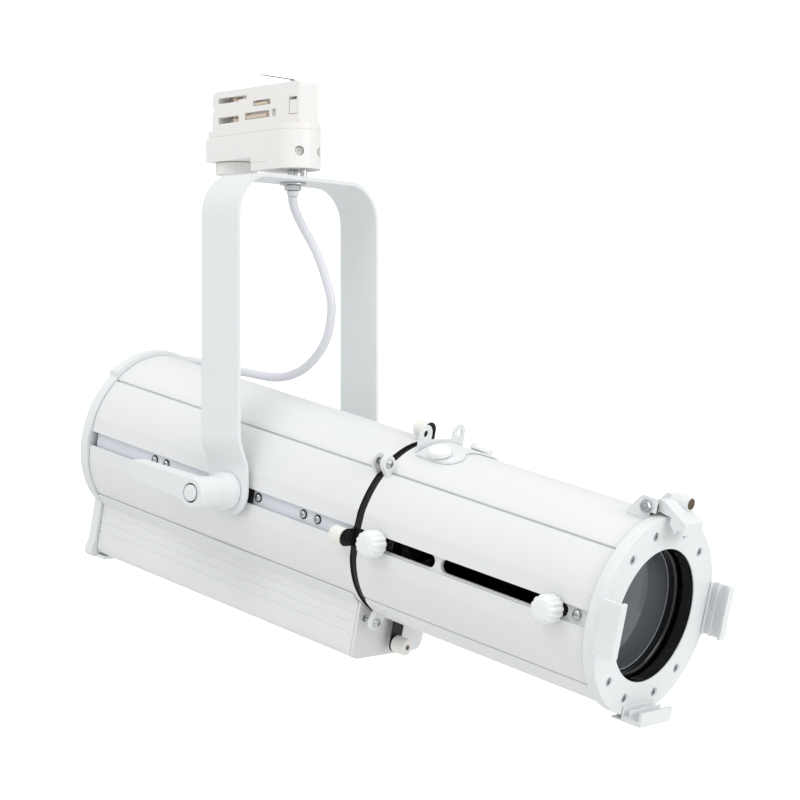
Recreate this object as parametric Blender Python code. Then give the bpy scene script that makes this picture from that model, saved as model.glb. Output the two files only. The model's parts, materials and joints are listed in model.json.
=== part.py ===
"""Ellipsoidal (profile) spotlight on a three-circuit track adapter.

Metres, +Z up. The origin is on the pan axis, in the top face of the track adapter, so the light
hangs below it. +X is the way the beam points, seen from above. Each shape is drawn in the frame
of its own parent empty: the adapter's, the yoke's or the head's, whose x runs along the beam.
"""

import math

import bmesh
import bpy
from mathutils import Matrix, Vector

# ---------------------------------------------------------------- driving dimensions
GAP = 0.0003                 # between pieces that touch
PIVOT_DROP = 0.288           # tilt axis below the track face
HEAD_TILT = math.radians(13.0)
ADAPTER_YAW = math.radians(-6.0)

# track adapter
INSERT_REAR, INSERT_FRONT = -0.079, 0.0172
INSERT_HALF_WIDTH = 0.00925
INSERT_BOTTOM = -0.0296
HOUSING_REAR = -0.0755
HOUSING_HALF_WIDTH = 0.018
NOSE_CENTRE = 0.003
REAR_UNDERSIDE, NOSE_UNDERSIDE = -0.0525, -0.062
NOSE_STEP = -0.025
SELECTOR_X = -0.062
SELECTOR_RADIUS = 0.0153
STEM_RADIUS, STEM_BORE = 0.0036, 0.0023
STEM_END = -0.0768

# yoke
STRAP = 0.003
STRAP_HALF_WIDTH = 0.0175
BAR_TOP = -0.068
ARM_OUT = 0.0748             # outer face of the arms
PADDLE_OUT = 0.067           # outer face of the arms' lower ends
BEND_RADIUS = 0.030
JOGGLE_TOP, JOGGLE_END = -0.250, -0.275
PIVOT_HOLE, PIVOT_SHANK = 0.0043, 0.0040

# lamp tube, shared by both halves of the head
TUBE_RADIUS = 0.0617
TUBE_WALL = 0.0030
PANEL_RADIUS = 0.0624        # raised top panel
PANEL_EDGE = 44.0            # degrees above the side where the panel's groove starts
FACET_EDGE = 15.0            # degrees above the side where the flat band starts
FACET_OUT = 0.0606
CHANNEL_HALF = 0.0052
CHANNEL_FLOOR = 0.0570
RAIL_INNER = 0.0535
REAR_START, REAR_END = -0.149, 0.1112
GATE_START, GATE_END = 0.1115, 0.1168
BARREL_START, BARREL_END = 0.1171, 0.3030
RING_END = 0.3120
RING_RADIUS, APERTURE_RADIUS = 0.0648, 0.0430

# box under the tube
BOX_HALF_WIDTH = 0.0375
BOX_BOTTOM = -0.0901
BOX_WALL, BOX_CORNER = 0.0025, 0.007
BOX_GROOVES = (-0.0580, -0.0653, -0.0726)
FLANGE_TOP, FLANGE_LOW = -44.2, -50.5   # degrees: the box hugs the tube between these
FLANGE_RADIUS = 0.0632

# gate
GATE_RADIUS, GATE_BORE, BEAM_RADIUS = 0.0597, 0.0570, 0.025
BLADE = 0.0006
EAR_RADIUS = 0.0685           # from the optical axis to the joint screws
EAR_ANGLES = (46.4, 133.6, 243.5, 296.5)

# moving lenses
FOCUS_X, ZOOM_X = 0.134, 0.277
ZOOM_REACH = 0.016           # the zoom lens sits this far ahead of its carriage
FOCUS_SLOT, ZOOM_SLOT = (0.124, 0.179), (0.184, 0.285)
SLOT_HALF = 0.0047
CARRIER_RADIUS, LENS_RADIUS = 0.0532, 0.0416

# accessory holder
CLIP_HALF = 0.0175
LATCH_PIN_X, LATCH_PIN_Z = 0.3005, 0.0685

# cable
CABLE_RADIUS = 0.00325
GLAND_Y, GLAND_Z, GLAND_END = 0.030, -0.002, -0.178


# ---------------------------------------------------------------- materials
def material(name, colour, roughness, metallic=0.0):
    made = bpy.data.materials.new(name)
    made.use_nodes = True
    shader = made.node_tree.nodes["Principled BSDF"]
    shader.inputs["Base Color"].default_value = (*colour, 1.0)
    shader.inputs["Roughness"].default_value = roughness
    shader.inputs["Metallic"].default_value = metallic
    made.diffuse_color = (*colour, 1.0)
    return made


FINISHES = {
    "adapter_plastic": ((0.84, 0.83, 0.80), 0.45, 0.0),
    "white_powder": ((0.80, 0.83, 0.83), 0.5, 0.0),
    "black_metal": ((0.02, 0.02, 0.022), 0.5, 0.0),
    "knob_white": ((0.88, 0.88, 0.88), 0.4, 0.0),
    "knob_cream": ((0.80, 0.76, 0.68), 0.45, 0.0),
    "steel": ((0.55, 0.56, 0.58), 0.3, 1.0),
    "copper": ((0.72, 0.45, 0.28), 0.35, 1.0),
    "rail_grey": ((0.45, 0.46, 0.47), 0.45, 1.0),
    "aluminium": ((0.75, 0.76, 0.77), 0.35, 1.0),
    "mirror": ((0.92, 0.93, 0.94), 0.08, 1.0),
    "glass": ((0.75, 0.82, 0.85), 0.05, 0.0),
    "phosphor": ((0.90, 0.75, 0.20), 0.5, 0.0),
    "cable_grey": ((0.72, 0.72, 0.76), 0.5, 0.0),
    "driver_plastic": ((0.10, 0.10, 0.11), 0.5, 0.0),
}


# ---------------------------------------------------------------- outlines
def arc(y, z, radius, start, end, steps):
    """Points on a circle about (y, z), from one angle to another in degrees."""
    angles = (math.radians(start + (end - start) * i / steps) for i in range(steps + 1))
    return [(y + radius * math.cos(a), z + radius * math.sin(a)) for a in angles]


def polar(radius, angle):
    return (radius * math.cos(math.radians(angle)), radius * math.sin(math.radians(angle)))


def mirrored(points):
    """The points, then the same on the other side of the vertical axis, in reverse."""
    return points + [(-y, z) for y, z in reversed(points)]


def lobed(radius, depth, lobes, per_lobe=4):
    """A knurled knob's outline: a circle with shallow waves."""
    count = lobes * per_lobe
    turns = [2 * math.pi * i / count for i in range(count)]
    return [((radius - depth * (0.5 + 0.5 * math.cos(lobes * a))) * math.cos(a),
             (radius - depth * (0.5 + 0.5 * math.cos(lobes * a))) * math.sin(a)) for a in turns]


def stadium(start, end, half):
    """A slot's outline along the first coordinate."""
    return arc(end - half, 0, half, -90, 90, 8) + arc(start + half, 0, half, 90, 270, 8)


# ---------------------------------------------------------------- solids
def axis_point(axis, along, a, b):
    """A point from its place along an axis and its two other coordinates, in x, y, z order."""
    return {"x": (along, a, b), "y": (a, along, b), "z": (a, b, along)}[axis]


def loft(bm, sections, axis="x"):
    """Join outlines with equal counts of points; each section is (along, outline)."""
    rings = [[bm.verts.new(axis_point(axis, along, a, b)) for a, b in outline]
             for along, outline in sections]
    for low, high in zip(rings, rings[1:]):
        for i in range(len(low)):
            j = (i + 1) % len(low)
            bm.faces.new((low[i], low[j], high[j], high[i]))
    bm.faces.new(list(reversed(rings[0])))
    bm.faces.new(rings[-1])


def prism(bm, outline, low, high, axis="x"):
    loft(bm, [(low, outline), (high, outline)], axis)


def box(bm, x, y, z):
    prism(bm, [(y[0], z[0]), (y[1], z[0]), (y[1], z[1]), (y[0], z[1])], x[0], x[1])


def turned(bm, profile, axis="x", centre=(0.0, 0.0), sides=32):
    """Turn a closed profile of (along, radius) points about an axis through centre."""
    rings = []
    for along, radius in profile:
        if radius == 0.0:
            rings.append([bm.verts.new(axis_point(axis, along, *centre))])
            continue
        ring = []
        for i in range(sides):
            a = 2 * math.pi * i / sides
            spot = (centre[0] + radius * math.cos(a), centre[1] + radius * math.sin(a))
            ring.append(bm.verts.new(axis_point(axis, along, *spot)))
        rings.append(ring)
    for this, following in zip(rings, rings[1:] + rings[:1]):
        for i in range(sides):
            j = (i + 1) % sides
            corners = [this[i % len(this)], this[j % len(this)],
                       following[j % len(following)], following[i % len(following)]]
            distinct = list(dict.fromkeys(corners))
            if len(distinct) > 2:
                bm.faces.new(distinct)


def rod(bm, radius, low, high, axis="x", centre=(0.0, 0.0), sides=24):
    turned(bm, [(low, 0.0), (low, radius), (high, radius), (high, 0.0)], axis, centre, sides)


def tube(bm, outer, inner, low, high, axis="x", centre=(0.0, 0.0), sides=24):
    turned(bm, [(low, inner), (low, outer), (high, outer), (high, inner)], axis, centre, sides)


def mesh_object(name, draw, parent, location=(0, 0, 0), turn=None):
    """An object whose mesh draw(bm) makes in its own frame, with its faces pointing out."""
    bm = bmesh.new()
    draw(bm)
    bmesh.ops.recalc_face_normals(bm, faces=bm.faces)
    mesh = bpy.data.meshes.new(name)
    bm.to_mesh(mesh)
    bm.free()
    made = bpy.data.objects.new(name, mesh)
    bpy.context.collection.objects.link(made)
    made.parent = parent
    made.location = location
    if turn is not None:
        made.rotation_euler = turn
    return made


def part(name, finish, draw, parent, location=(0, 0, 0), turn=None):
    """One sub-part, shaded smooth but for its sharp edges."""
    made = mesh_object(name, draw, parent, location, turn)
    made.data.materials.append(MATERIALS[finish])
    made.data.shade_smooth()
    made.data.set_sharp_from_angle(angle=math.radians(32))
    return made


def combine(target, operation, draw):
    """Cut, join or keep what is inside with a hidden tool drawn in the target's own frame."""
    count = sum(1 for m in target.modifiers)
    tool = mesh_object(f"{target.name}_tool_{count}", draw, target.parent,
                       target.location, target.rotation_euler)
    tool.hide_render = True
    tool.display_type = "WIRE"
    modifier = target.modifiers.new(f"{operation.lower()}_{count}", "BOOLEAN")
    modifier.operation = operation
    modifier.solver = "EXACT"
    modifier.object = tool


def empty(name, parent=None, location=(0, 0, 0), turn=(0, 0, 0)):
    made = bpy.data.objects.new(name, None)
    bpy.context.collection.objects.link(made)
    made.parent = parent
    made.location = location
    made.rotation_euler = turn
    return made


# ---------------------------------------------------------------- track adapter
def make_adapter(frame):
    half = INSERT_HALF_WIDTH
    side = [(INSERT_FRONT, INSERT_BOTTOM), (INSERT_FRONT, -0.003), *arc(INSERT_FRONT - 0.003, -0.003,
            0.003, 0, 90, 4), *arc(INSERT_REAR + 0.006, -0.006, 0.006, 90, 180, 5),
            (INSERT_REAR, -0.0105), (INSERT_REAR + 0.0016, -0.0115), (INSERT_REAR + 0.0016, -0.0145),
            (INSERT_REAR, -0.0155), (INSERT_REAR, INSERT_BOTTOM)]
    insert = part("adapter_insert", "adapter_plastic",
                  lambda bm: prism(bm, side, -half, half, "y"), frame)

    def selector_slots(bm):
        for low, high in ((-0.0090, -0.0050), (-0.0238, -0.0192)):
            box(bm, (SELECTOR_X - 0.010, -0.0490), (-half - 0.001, 0.0024), (low, high))

    def contact_slots(bm):
        box(bm, (-0.0520, -0.0400), (-half - 0.001, -0.0045), (-0.0078, -0.0052))
        box(bm, (-0.0330, -0.0140), (-half - 0.001, -0.0050), (-0.0140, -0.0102))
        box(bm, (-0.0420, -0.0150), (-half - 0.001, -0.0050), (-0.0232, -0.0182))
        box(bm, (-0.0122, -0.0080), (-half - 0.001, -0.0060), (-0.0232, -0.0178))
        box(bm, (0.0062, 0.0146), (-half - 0.001, -0.0030), (-0.0235, -0.0110))

    combine(insert, "DIFFERENCE", lambda bm: rod(bm, 0.0050, INSERT_BOTTOM - 0.002, -0.004, "z",
                                                 (SELECTOR_X, 0.0), 24))
    combine(insert, "DIFFERENCE", selector_slots)
    combine(insert, "DIFFERENCE", contact_slots)
    part("contact_mid_upper", "copper",
         lambda bm: box(bm, (-0.0326, -0.0180), (-0.0086, -0.0053), (-0.0136, -0.0116)), frame)
    part("contact_mid_lower", "copper",
         lambda bm: box(bm, (-0.0416, -0.0190), (-0.0086, -0.0053), (-0.0228, -0.0202)), frame)

    wide, rear = HOUSING_HALF_WIDTH, HOUSING_REAR
    plan = [*arc(NOSE_CENTRE, 0, wide, -90, 90, 20), *arc(rear + 0.004, wide - 0.004, 0.004, 90, 180, 4),
            *arc(rear + 0.004, 0.004 - wide, 0.004, 180, 270, 4)]
    housing = part("adapter_housing", "adapter_plastic",
                   lambda bm: prism(bm, plan, NOSE_UNDERSIDE, INSERT_BOTTOM - GAP, "z"), frame)

    def housing_cuts(bm):
        box(bm, (rear - 0.01, NOSE_STEP), (-0.03, 0.03), (NOSE_UNDERSIDE - 0.01, REAR_UNDERSIDE))

    def housing_bores(bm):
        rod(bm, 0.0033, REAR_UNDERSIDE - 0.002, INSERT_BOTTOM + 0.002, "z", (SELECTOR_X, 0.0), 20)

    combine(housing, "DIFFERENCE", housing_cuts)
    combine(housing, "DIFFERENCE", housing_bores)
    for angle in (-33.0, 27.0):
        def screw_hole(bm, angle=angle):
            rod(bm, 0.0034, 0.011, 0.022, "x", (0.0, 0.0), 16)
            bm.transform(Matrix.Translation((NOSE_CENTRE, 0, -0.050))
                         @ Matrix.Rotation(math.radians(angle), 4, "Z"))
        combine(housing, "DIFFERENCE", screw_hole)

    strip = [(0.006, 0.0003), (0.006, 0.0011), (-0.001, 0.0013), (-0.007, 0.0045), (-0.0390, 0.0110),
             (-0.0391, 0.0104), (-0.0068, 0.0038), (-0.002, 0.0003)]
    part("earth_strip", "steel", lambda bm: prism(bm, strip, 0.003, 0.0075, "y"), frame)
    part("friction_pin", "steel",
         lambda bm: rod(bm, 0.0025, BAR_TOP + GAP, NOSE_UNDERSIDE - GAP, "z", (0.0115, 0.0), 16), frame)

    part("mounting_stem", "steel", lambda bm: tube(bm, STEM_RADIUS, STEM_BORE, STEM_END,
                                                   NOSE_UNDERSIDE - GAP, "z", sides=16), frame)
    bar_bottom = BAR_TOP - STRAP
    part("stem_washer", "steel", lambda bm: tube(bm, 0.0093, STEM_RADIUS + GAP, bar_bottom - 0.0018,
                                                 bar_bottom - GAP, "z", sides=20), frame)

    nut = part("stem_nut", "steel", lambda bm: rod(bm, 0.0063, bar_bottom - 0.0056,
                                                   bar_bottom - 0.0021, "z", sides=6), frame)
    combine(nut, "DIFFERENCE", lambda bm: rod(bm, STEM_RADIUS + GAP, bar_bottom - 0.01,
                                              bar_bottom, "z", sides=16))

    def bush(bm):
        top = STEM_END - GAP
        turned(bm, [(top, 0.0), (top, 0.0043), (top - 0.0010, 0.0043), (top - 0.0040, 0.0036),
                    (top - 0.0040, 0.0)], "z", sides=16)

    part("cable_bush", "cable_grey", bush, frame)


def make_selector(frame):
    axis = empty("selector_axis", frame, (SELECTOR_X, 0, 0))

    def dial(bm):
        outline = lobed(SELECTOR_RADIUS, 0.0007, 20, 2)
        prism(bm, outline, -0.0615, REAR_UNDERSIDE - GAP, "z")

    part("selector_dial", "adapter_plastic", dial, axis)

    spindle = part("contact_spindle", "copper",
                   lambda bm: rod(bm, 0.0029, REAR_UNDERSIDE + GAP, -0.0045, "z", sides=16), axis)

    def blades(bm):
        for low, high in ((-0.0086, -0.0056), (-0.0232, -0.0200)):
            box(bm, (-0.0010, 0.0120), (-0.0018, 0.0018), (low, high))

    combine(spindle, "UNION", blades)


def make_latch_tab(frame):
    part("latch_tab", "adapter_plastic",
         lambda bm: box(bm, (0.0066, 0.0142), (-0.0090, -0.0062), (-0.0231, -0.0130)), frame)


# ---------------------------------------------------------------- yoke
def strap_side(offset):
    """Points down one side of the yoke strap, from the bar's middle, at a depth below its skin."""
    centre_y, centre_z = ARM_OUT - BEND_RADIUS, BAR_TOP - BEND_RADIUS
    points = [(0.0, BAR_TOP - offset)]
    points += arc(centre_y, centre_z, BEND_RADIUS - offset, 90, 0, 8)
    steps = 6
    for i in range(steps + 1):
        share = 0.5 - 0.5 * math.cos(math.pi * i / steps)
        points.append((ARM_OUT - offset + (PADDLE_OUT - ARM_OUT) * share,
                       JOGGLE_TOP + (JOGGLE_END - JOGGLE_TOP) * i / steps))
    points.append((PADDLE_OUT - offset, -PIVOT_DROP - 0.03))
    return points


def make_yoke(frame):
    outer, inner = strap_side(0.0), strap_side(STRAP)
    outline = outer + list(reversed(inner[1:]))
    outline += [(-y, z) for y, z in inner] + [(-y, z) for y, z in reversed(outer[1:])]
    yoke = part("yoke", "white_powder", lambda bm: prism(bm, outline, -0.025, 0.025), frame)
    half = STRAP_HALF_WIDTH
    front = [(half, BAR_TOP + 0.01), *arc(0, -PIVOT_DROP, half, 0, -180, 12), (-half, BAR_TOP + 0.01)]
    combine(yoke, "INTERSECT", lambda bm: prism(bm, front, -0.1, 0.1, "y"))

    def holes(bm):
        rod(bm, STEM_RADIUS + GAP, BAR_TOP - 0.01, BAR_TOP + 0.01, "z", sides=16)
        rod(bm, PIVOT_HOLE, -0.09, 0.09, "y", (0.0, -PIVOT_DROP), 16)

    combine(yoke, "DIFFERENCE", holes)


def make_pivots(head):
    """Spacers between the yoke's paddles and the side rails, and the far side's bolt."""
    for side, name in ((-1, "near"), (1, "far")):
        low, high = sorted((side * (CHANNEL_FLOOR + GAP), side * (PADDLE_OUT - STRAP - GAP)))
        part(f"pivot_spacer_{name}", "steel",
             lambda bm: tube(bm, 0.0049, PIVOT_HOLE, low, high, "y", sides=16), head)

    out = PADDLE_OUT + GAP

    def bolt(bm):
        turned(bm, [(0.0500, 0.0), (0.0500, PIVOT_SHANK), (out, PIVOT_SHANK), (out, 0.0100),
                    (out + 0.0018, 0.0100), (out + 0.0018, 0.0072), (out + 0.0060, 0.0066),
                    (out + 0.0070, 0.0050), (out + 0.0070, 0.0)], "y", sides=16)

    part("pivot_bolt", "steel", bolt, head)


def make_clamp_lever(head):
    collar = -(PADDLE_OUT + GAP)
    profile = [(-0.0500, 0.0), (-0.0500, PIVOT_SHANK), (collar, PIVOT_SHANK), (collar, 0.0130),
               (-0.0735, 0.0130), (-0.0750, 0.0108), (-0.1015, 0.0108), (-0.1030, 0.0095),
               (-0.1030, 0.0062), (-0.1042, 0.0056), (-0.1042, 0.0)]
    axis = empty("clamp_axis", head)
    lever = part("clamp_lever", "white_powder", lambda bm: turned(bm, profile, "y", sides=20), axis)
    arm = [*arc(-0.0620, 0.0, 0.0070, 100, 260, 8), (-0.004, -0.0090), (-0.004, 0.0090)]
    combine(lever, "UNION", lambda bm: prism(bm, arm, -0.0985, -0.0865, "y"))


# ---------------------------------------------------------------- head, rear half
def shell_top():
    """Right half of the tube's upper outline, from the channel to the middle of the top panel."""
    return [(FACET_OUT, CHANNEL_HALF), *arc(0, 0, TUBE_RADIUS, FACET_EDGE, PANEL_EDGE, 8),
            polar(TUBE_RADIUS - 0.0012, PANEL_EDGE), polar(TUBE_RADIUS - 0.0012, PANEL_EDGE + 1.1),
            polar(TUBE_RADIUS - 0.0001, PANEL_EDGE + 1.1),
            *arc(0, 0, PANEL_RADIUS, PANEL_EDGE + 3.2, 86, 10)]


def ear(bm, angle, low, high, root):
    """A lug with a round end, standing out of the tube at an angle."""
    outline = [(root, -0.0055), *arc(EAR_RADIUS, 0, 0.0055, -90, 90, 8), (root, 0.0055)]
    start = len(bm.verts)
    prism(bm, outline, low, high)
    bm.verts.ensure_lookup_table()
    bmesh.ops.rotate(bm, verts=bm.verts[start:], cent=(0, 0, 0),
                     matrix=Matrix.Rotation(math.radians(angle), 3, "X"))


def ear_holes(bm, angles, radius=0.0023):
    for angle in angles:
        rod(bm, radius, 0.095, 0.135, "x", polar(EAR_RADIUS, angle), 12)


def make_shells(head):
    inner = TUBE_RADIUS - TUBE_WALL
    edge = math.degrees(math.asin(CHANNEL_HALF / inner))
    upper = mirrored(shell_top()) + arc(0, 0, inner, 180 - edge, edge, 32)
    shell = part("upper_shell", "white_powder", lambda bm: prism(bm, upper, REAR_START, REAR_END), head)

    def ears(bm):
        for angle in EAR_ANGLES[:2]:
            ear(bm, angle, 0.1086, REAR_END, 0.0600)

    combine(shell, "UNION", ears)
    combine(shell, "DIFFERENCE", lambda bm: ear_holes(bm, EAR_ANGLES[:2]))

    lower = [(FACET_OUT, -CHANNEL_HALF), *arc(0, 0, TUBE_RADIUS, -FACET_EDGE, -180 + FACET_EDGE, 36),
             (-FACET_OUT, -CHANNEL_HALF), *arc(0, 0, inner, -180 + edge, -edge, 32)]
    part("lower_shell", "white_powder", lambda bm: prism(bm, lower, REAR_START, REAR_END), head)


def make_side_rails(head):
    for side, name in ((-1, "near"), (1, "far")):
        low, high = sorted((side * RAIL_INNER, side * CHANNEL_FLOOR))
        rail = part(f"side_rail_{name}", "rail_grey",
                    lambda bm: box(bm, (-0.146, 0.108), (low, high), (-0.0110, 0.0110)), head)
        combine(rail, "DIFFERENCE", lambda bm: rod(bm, PIVOT_HOLE, low - 0.01, high + 0.01, "y"))


def box_side(groove):
    """Right outer side of the driver box: the flange that hugs the tube, then fine grooves."""
    points = [polar(FLANGE_RADIUS, FLANGE_TOP), polar(FLANGE_RADIUS, FLANGE_LOW + 2.0),
              (BOX_HALF_WIDTH, FLANGE_RADIUS * math.sin(math.radians(FLANGE_LOW)) - 0.0035)]
    for z in BOX_GROOVES:
        points += [(BOX_HALF_WIDTH, z + 0.0007), (BOX_HALF_WIDTH - groove, z),
                   (BOX_HALF_WIDTH, z - 0.0007)]
    points += arc(BOX_HALF_WIDTH - BOX_CORNER, BOX_BOTTOM + BOX_CORNER, BOX_CORNER, 0, -90, 5)
    return points


def make_driver_box(head):
    inner_half = BOX_HALF_WIDTH - BOX_WALL
    inner_corner = BOX_CORNER - BOX_WALL
    roof = TUBE_RADIUS + GAP
    lining = [polar(roof, FLANGE_TOP - 11.3 * i / 4) for i in range(5)]
    lining += arc(inner_half - inner_corner, BOX_BOTTOM + BOX_CORNER, inner_corner, 0, -90, 5)
    outline = mirrored(box_side(0.0007)) + list(reversed(mirrored(lining)))
    part("driver_box", "white_powder", lambda bm: prism(bm, outline, REAR_START, 0.1076), head)

    corner = math.degrees(math.acos(BOX_HALF_WIDTH / roof))
    plate = [*arc(0, 0, roof, corner - 180, -corner, 16),
             *arc(BOX_HALF_WIDTH - BOX_CORNER, BOX_BOTTOM + BOX_CORNER, BOX_CORNER, 0, -90, 5),
             *arc(BOX_CORNER - BOX_HALF_WIDTH, BOX_BOTTOM + BOX_CORNER, BOX_CORNER, 270, 180, 5)]
    end = part("box_end_plate", "white_powder", lambda bm: prism(bm, plate, 0.1079, 0.1099), head)
    combine(end, "DIFFERENCE", lambda bm: ear_holes(bm, EAR_ANGLES[2:]))
    part("led_driver", "driver_plastic",
         lambda bm: box(bm, (-0.120, 0.060), (-0.028, 0.028), (-0.0862, -0.0660)), head)


def cap_outline(inset):
    """The rear cap: a disc with a hood over the top panel and a box-shaped foot."""
    radius, half, bottom = 0.0634 - inset, 0.0402 - inset, -0.0925 + inset
    join = math.degrees(math.acos(half / radius))
    hood = [polar(0.0655 + 0.0012 * ((a - 90) / 42) ** 2 - inset, a) for a in range(48, 133, 6)]
    return [*arc(0, 0, radius, -join, 46, 18), *hood, *arc(0, 0, radius, 134, 180 + join, 18),
            (-half, -0.0800), (-half - 0.0022, -0.0860), (-half - 0.0022, bottom + 0.003),
            (-half + 0.001, bottom), (half - 0.001, bottom), (half + 0.0022, bottom + 0.003),
            (half + 0.0022, -0.0860), (half, -0.0800)]


def make_rear_cap(head):
    rear, front, under = -0.1592, REAR_START - 0.0004, BOX_BOTTOM - 0.0004
    cap = part("rear_cap", "white_powder",
               lambda bm: loft(bm, [(rear, cap_outline(0.0026)), (rear + 0.0026, cap_outline(0.0)),
                                    (front, cap_outline(0.0))]), head)
    combine(cap, "UNION", lambda bm: box(bm, (front - 0.002, -0.1410), (-0.036, 0.036),
                                         (under - 0.0022, under)))

    def gland(bm):
        start = rear - GAP
        turned(bm, [(start, 0.0), (start, 0.0095), (start - 0.003, 0.0095), (start - 0.0032, 0.0080),
                    (start - 0.0095, 0.0080), (start - 0.0110, 0.0062), (GLAND_END, 0.0046),
                    (GLAND_END, 0.0)], "x", (GLAND_Y, GLAND_Z), 16)

    part("cable_gland", "cable_grey", gland, head)


def make_light_engine(head):
    """Heat sink, LED board with its emitter, and the ellipsoidal reflector."""
    base, tip, reach = (-0.038, -0.030), -0.078, 0.046
    fins = 9
    pitch = 2 * reach / (fins - 1 + 0.3)
    comb = [(base[1], -0.05), (base[1], 0.05), (base[0], 0.05)]
    for i in range(fins):
        high = reach - i * pitch
        comb += [(base[0], high), (tip, high), (tip, high - 0.3 * pitch), (base[0], high - 0.3 * pitch)]
    comb.append((base[0], -0.05))
    sink = part("heat_sink", "aluminium", lambda bm: prism(bm, comb, -0.05, 0.05, "z"), head)
    combine(sink, "INTERSECT", lambda bm: rod(bm, 0.0495, -0.09, -0.02, sides=48))

    part("led_board", "aluminium", lambda bm: rod(bm, 0.020, -0.0297, -0.0281, sides=24), head)
    part("led_emitter", "phosphor", lambda bm: rod(bm, 0.008, -0.0278, -0.0268, sides=20), head)

    focus, depth, mouth = 0.060, 0.090, 0.046

    def bowl(radius_gain):
        spots = [-0.0275 + (focus + 0.0275) * i / 5 for i in range(6)]
        return [(x, mouth * math.sqrt(1 - ((x - focus) / depth) ** 2) + radius_gain) for x in spots]

    part("reflector", "mirror",
         lambda bm: turned(bm, bowl(0.0) + list(reversed(bowl(0.0015))), sides=24), head)


# ---------------------------------------------------------------- gate and shutters
SHUTTERS = {
    # name: turn about the axis, plane, blade edge, sideways offset, tab tip, knob centre, knob side
    "near": (180.0, 0.1124, 0.0120, 0.0015, 0.0745, 0.0690, -1),
    "far": (0.0, 0.1133, 0.0120, 0.0015, 0.0745, 0.0690, -1),
    "top": (90.0, 0.1142, 0.0120, 0.0024, 0.0755, 0.0693, -1),
    "bottom": (270.0, 0.1151, 0.0220, 0.0, 0.0860, 0.0800, 1),
}
TAB_HALF = 0.006


def make_gate(head):
    plate = GATE_START + 0.0006
    ring = part("gate_ring", "black_metal",
                lambda bm: turned(bm, [(GATE_START, BEAM_RADIUS), (GATE_START, GATE_RADIUS),
                                       (GATE_END, GATE_RADIUS), (GATE_END, GATE_BORE),
                                       (plate, GATE_BORE), (plate, BEAM_RADIUS)], sides=36), head)

    def windows(bm):
        for turn, plane, _, offset, *_ in SHUTTERS.values():
            start = len(bm.verts)
            box(bm, (plane - 0.0003, plane + BLADE + 0.0003), (0.0400, 0.0700),
                (offset - TAB_HALF - 0.0005, offset + TAB_HALF + 0.0005))
            bm.verts.ensure_lookup_table()
            bmesh.ops.rotate(bm, verts=bm.verts[start:], cent=(0, 0, 0),
                             matrix=Matrix.Rotation(math.radians(turn), 3, "X"))

    combine(ring, "DIFFERENCE", windows)
    part("gate_retainer", "black_metal",
         lambda bm: tube(bm, GATE_BORE - 0.0004, BEAM_RADIUS, 0.1160, 0.1166, sides=36), head)


def blade_outline(edge, offset, tip):
    """A framing blade with a rounded handle tab, drawn pointing along the first coordinate."""
    half, back = 0.027, edge + 0.019
    tab_low, tab_high = offset - TAB_HALF, offset + TAB_HALF
    return [(edge, -half), (back - 0.005, -half), (back, -half + 0.005), (back, tab_low),
            (tip - 0.0058, tab_low), *arc(tip - 0.0058, tab_low + 0.0058, 0.0058, -90, 0, 4)[1:],
            *arc(tip - 0.0058, tab_high - 0.0058, 0.0058, 0, 90, 4), (back, tab_high),
            (back, half - 0.005), (back - 0.005, half), (edge, half)]


def make_shutter(head, name):
    turn, plane, edge, offset, tip, knob_out, side = SHUTTERS[name]
    slide = empty(f"shutter_{name}_slide", head, turn=(math.radians(turn), 0, 0))
    outline = blade_outline(edge, offset, tip)
    part(f"shutter_{name}", "black_metal", lambda bm: prism(bm, outline, plane, plane + BLADE), slide)
    if side < 0:
        low, high = plane - 0.0106, plane - GAP
    else:
        low, high = plane + BLADE + GAP, plane + BLADE + 0.0110
    profile = [(low, 0.0), (low, 0.0051), (low + 0.0008, 0.0059), (high - 0.0008, 0.0059),
               (high, 0.0051), (high, 0.0)]
    part(f"shutter_knob_{name}", "knob_cream",
         lambda bm: turned(bm, profile, "x", (knob_out, offset), 16), slide)


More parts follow.
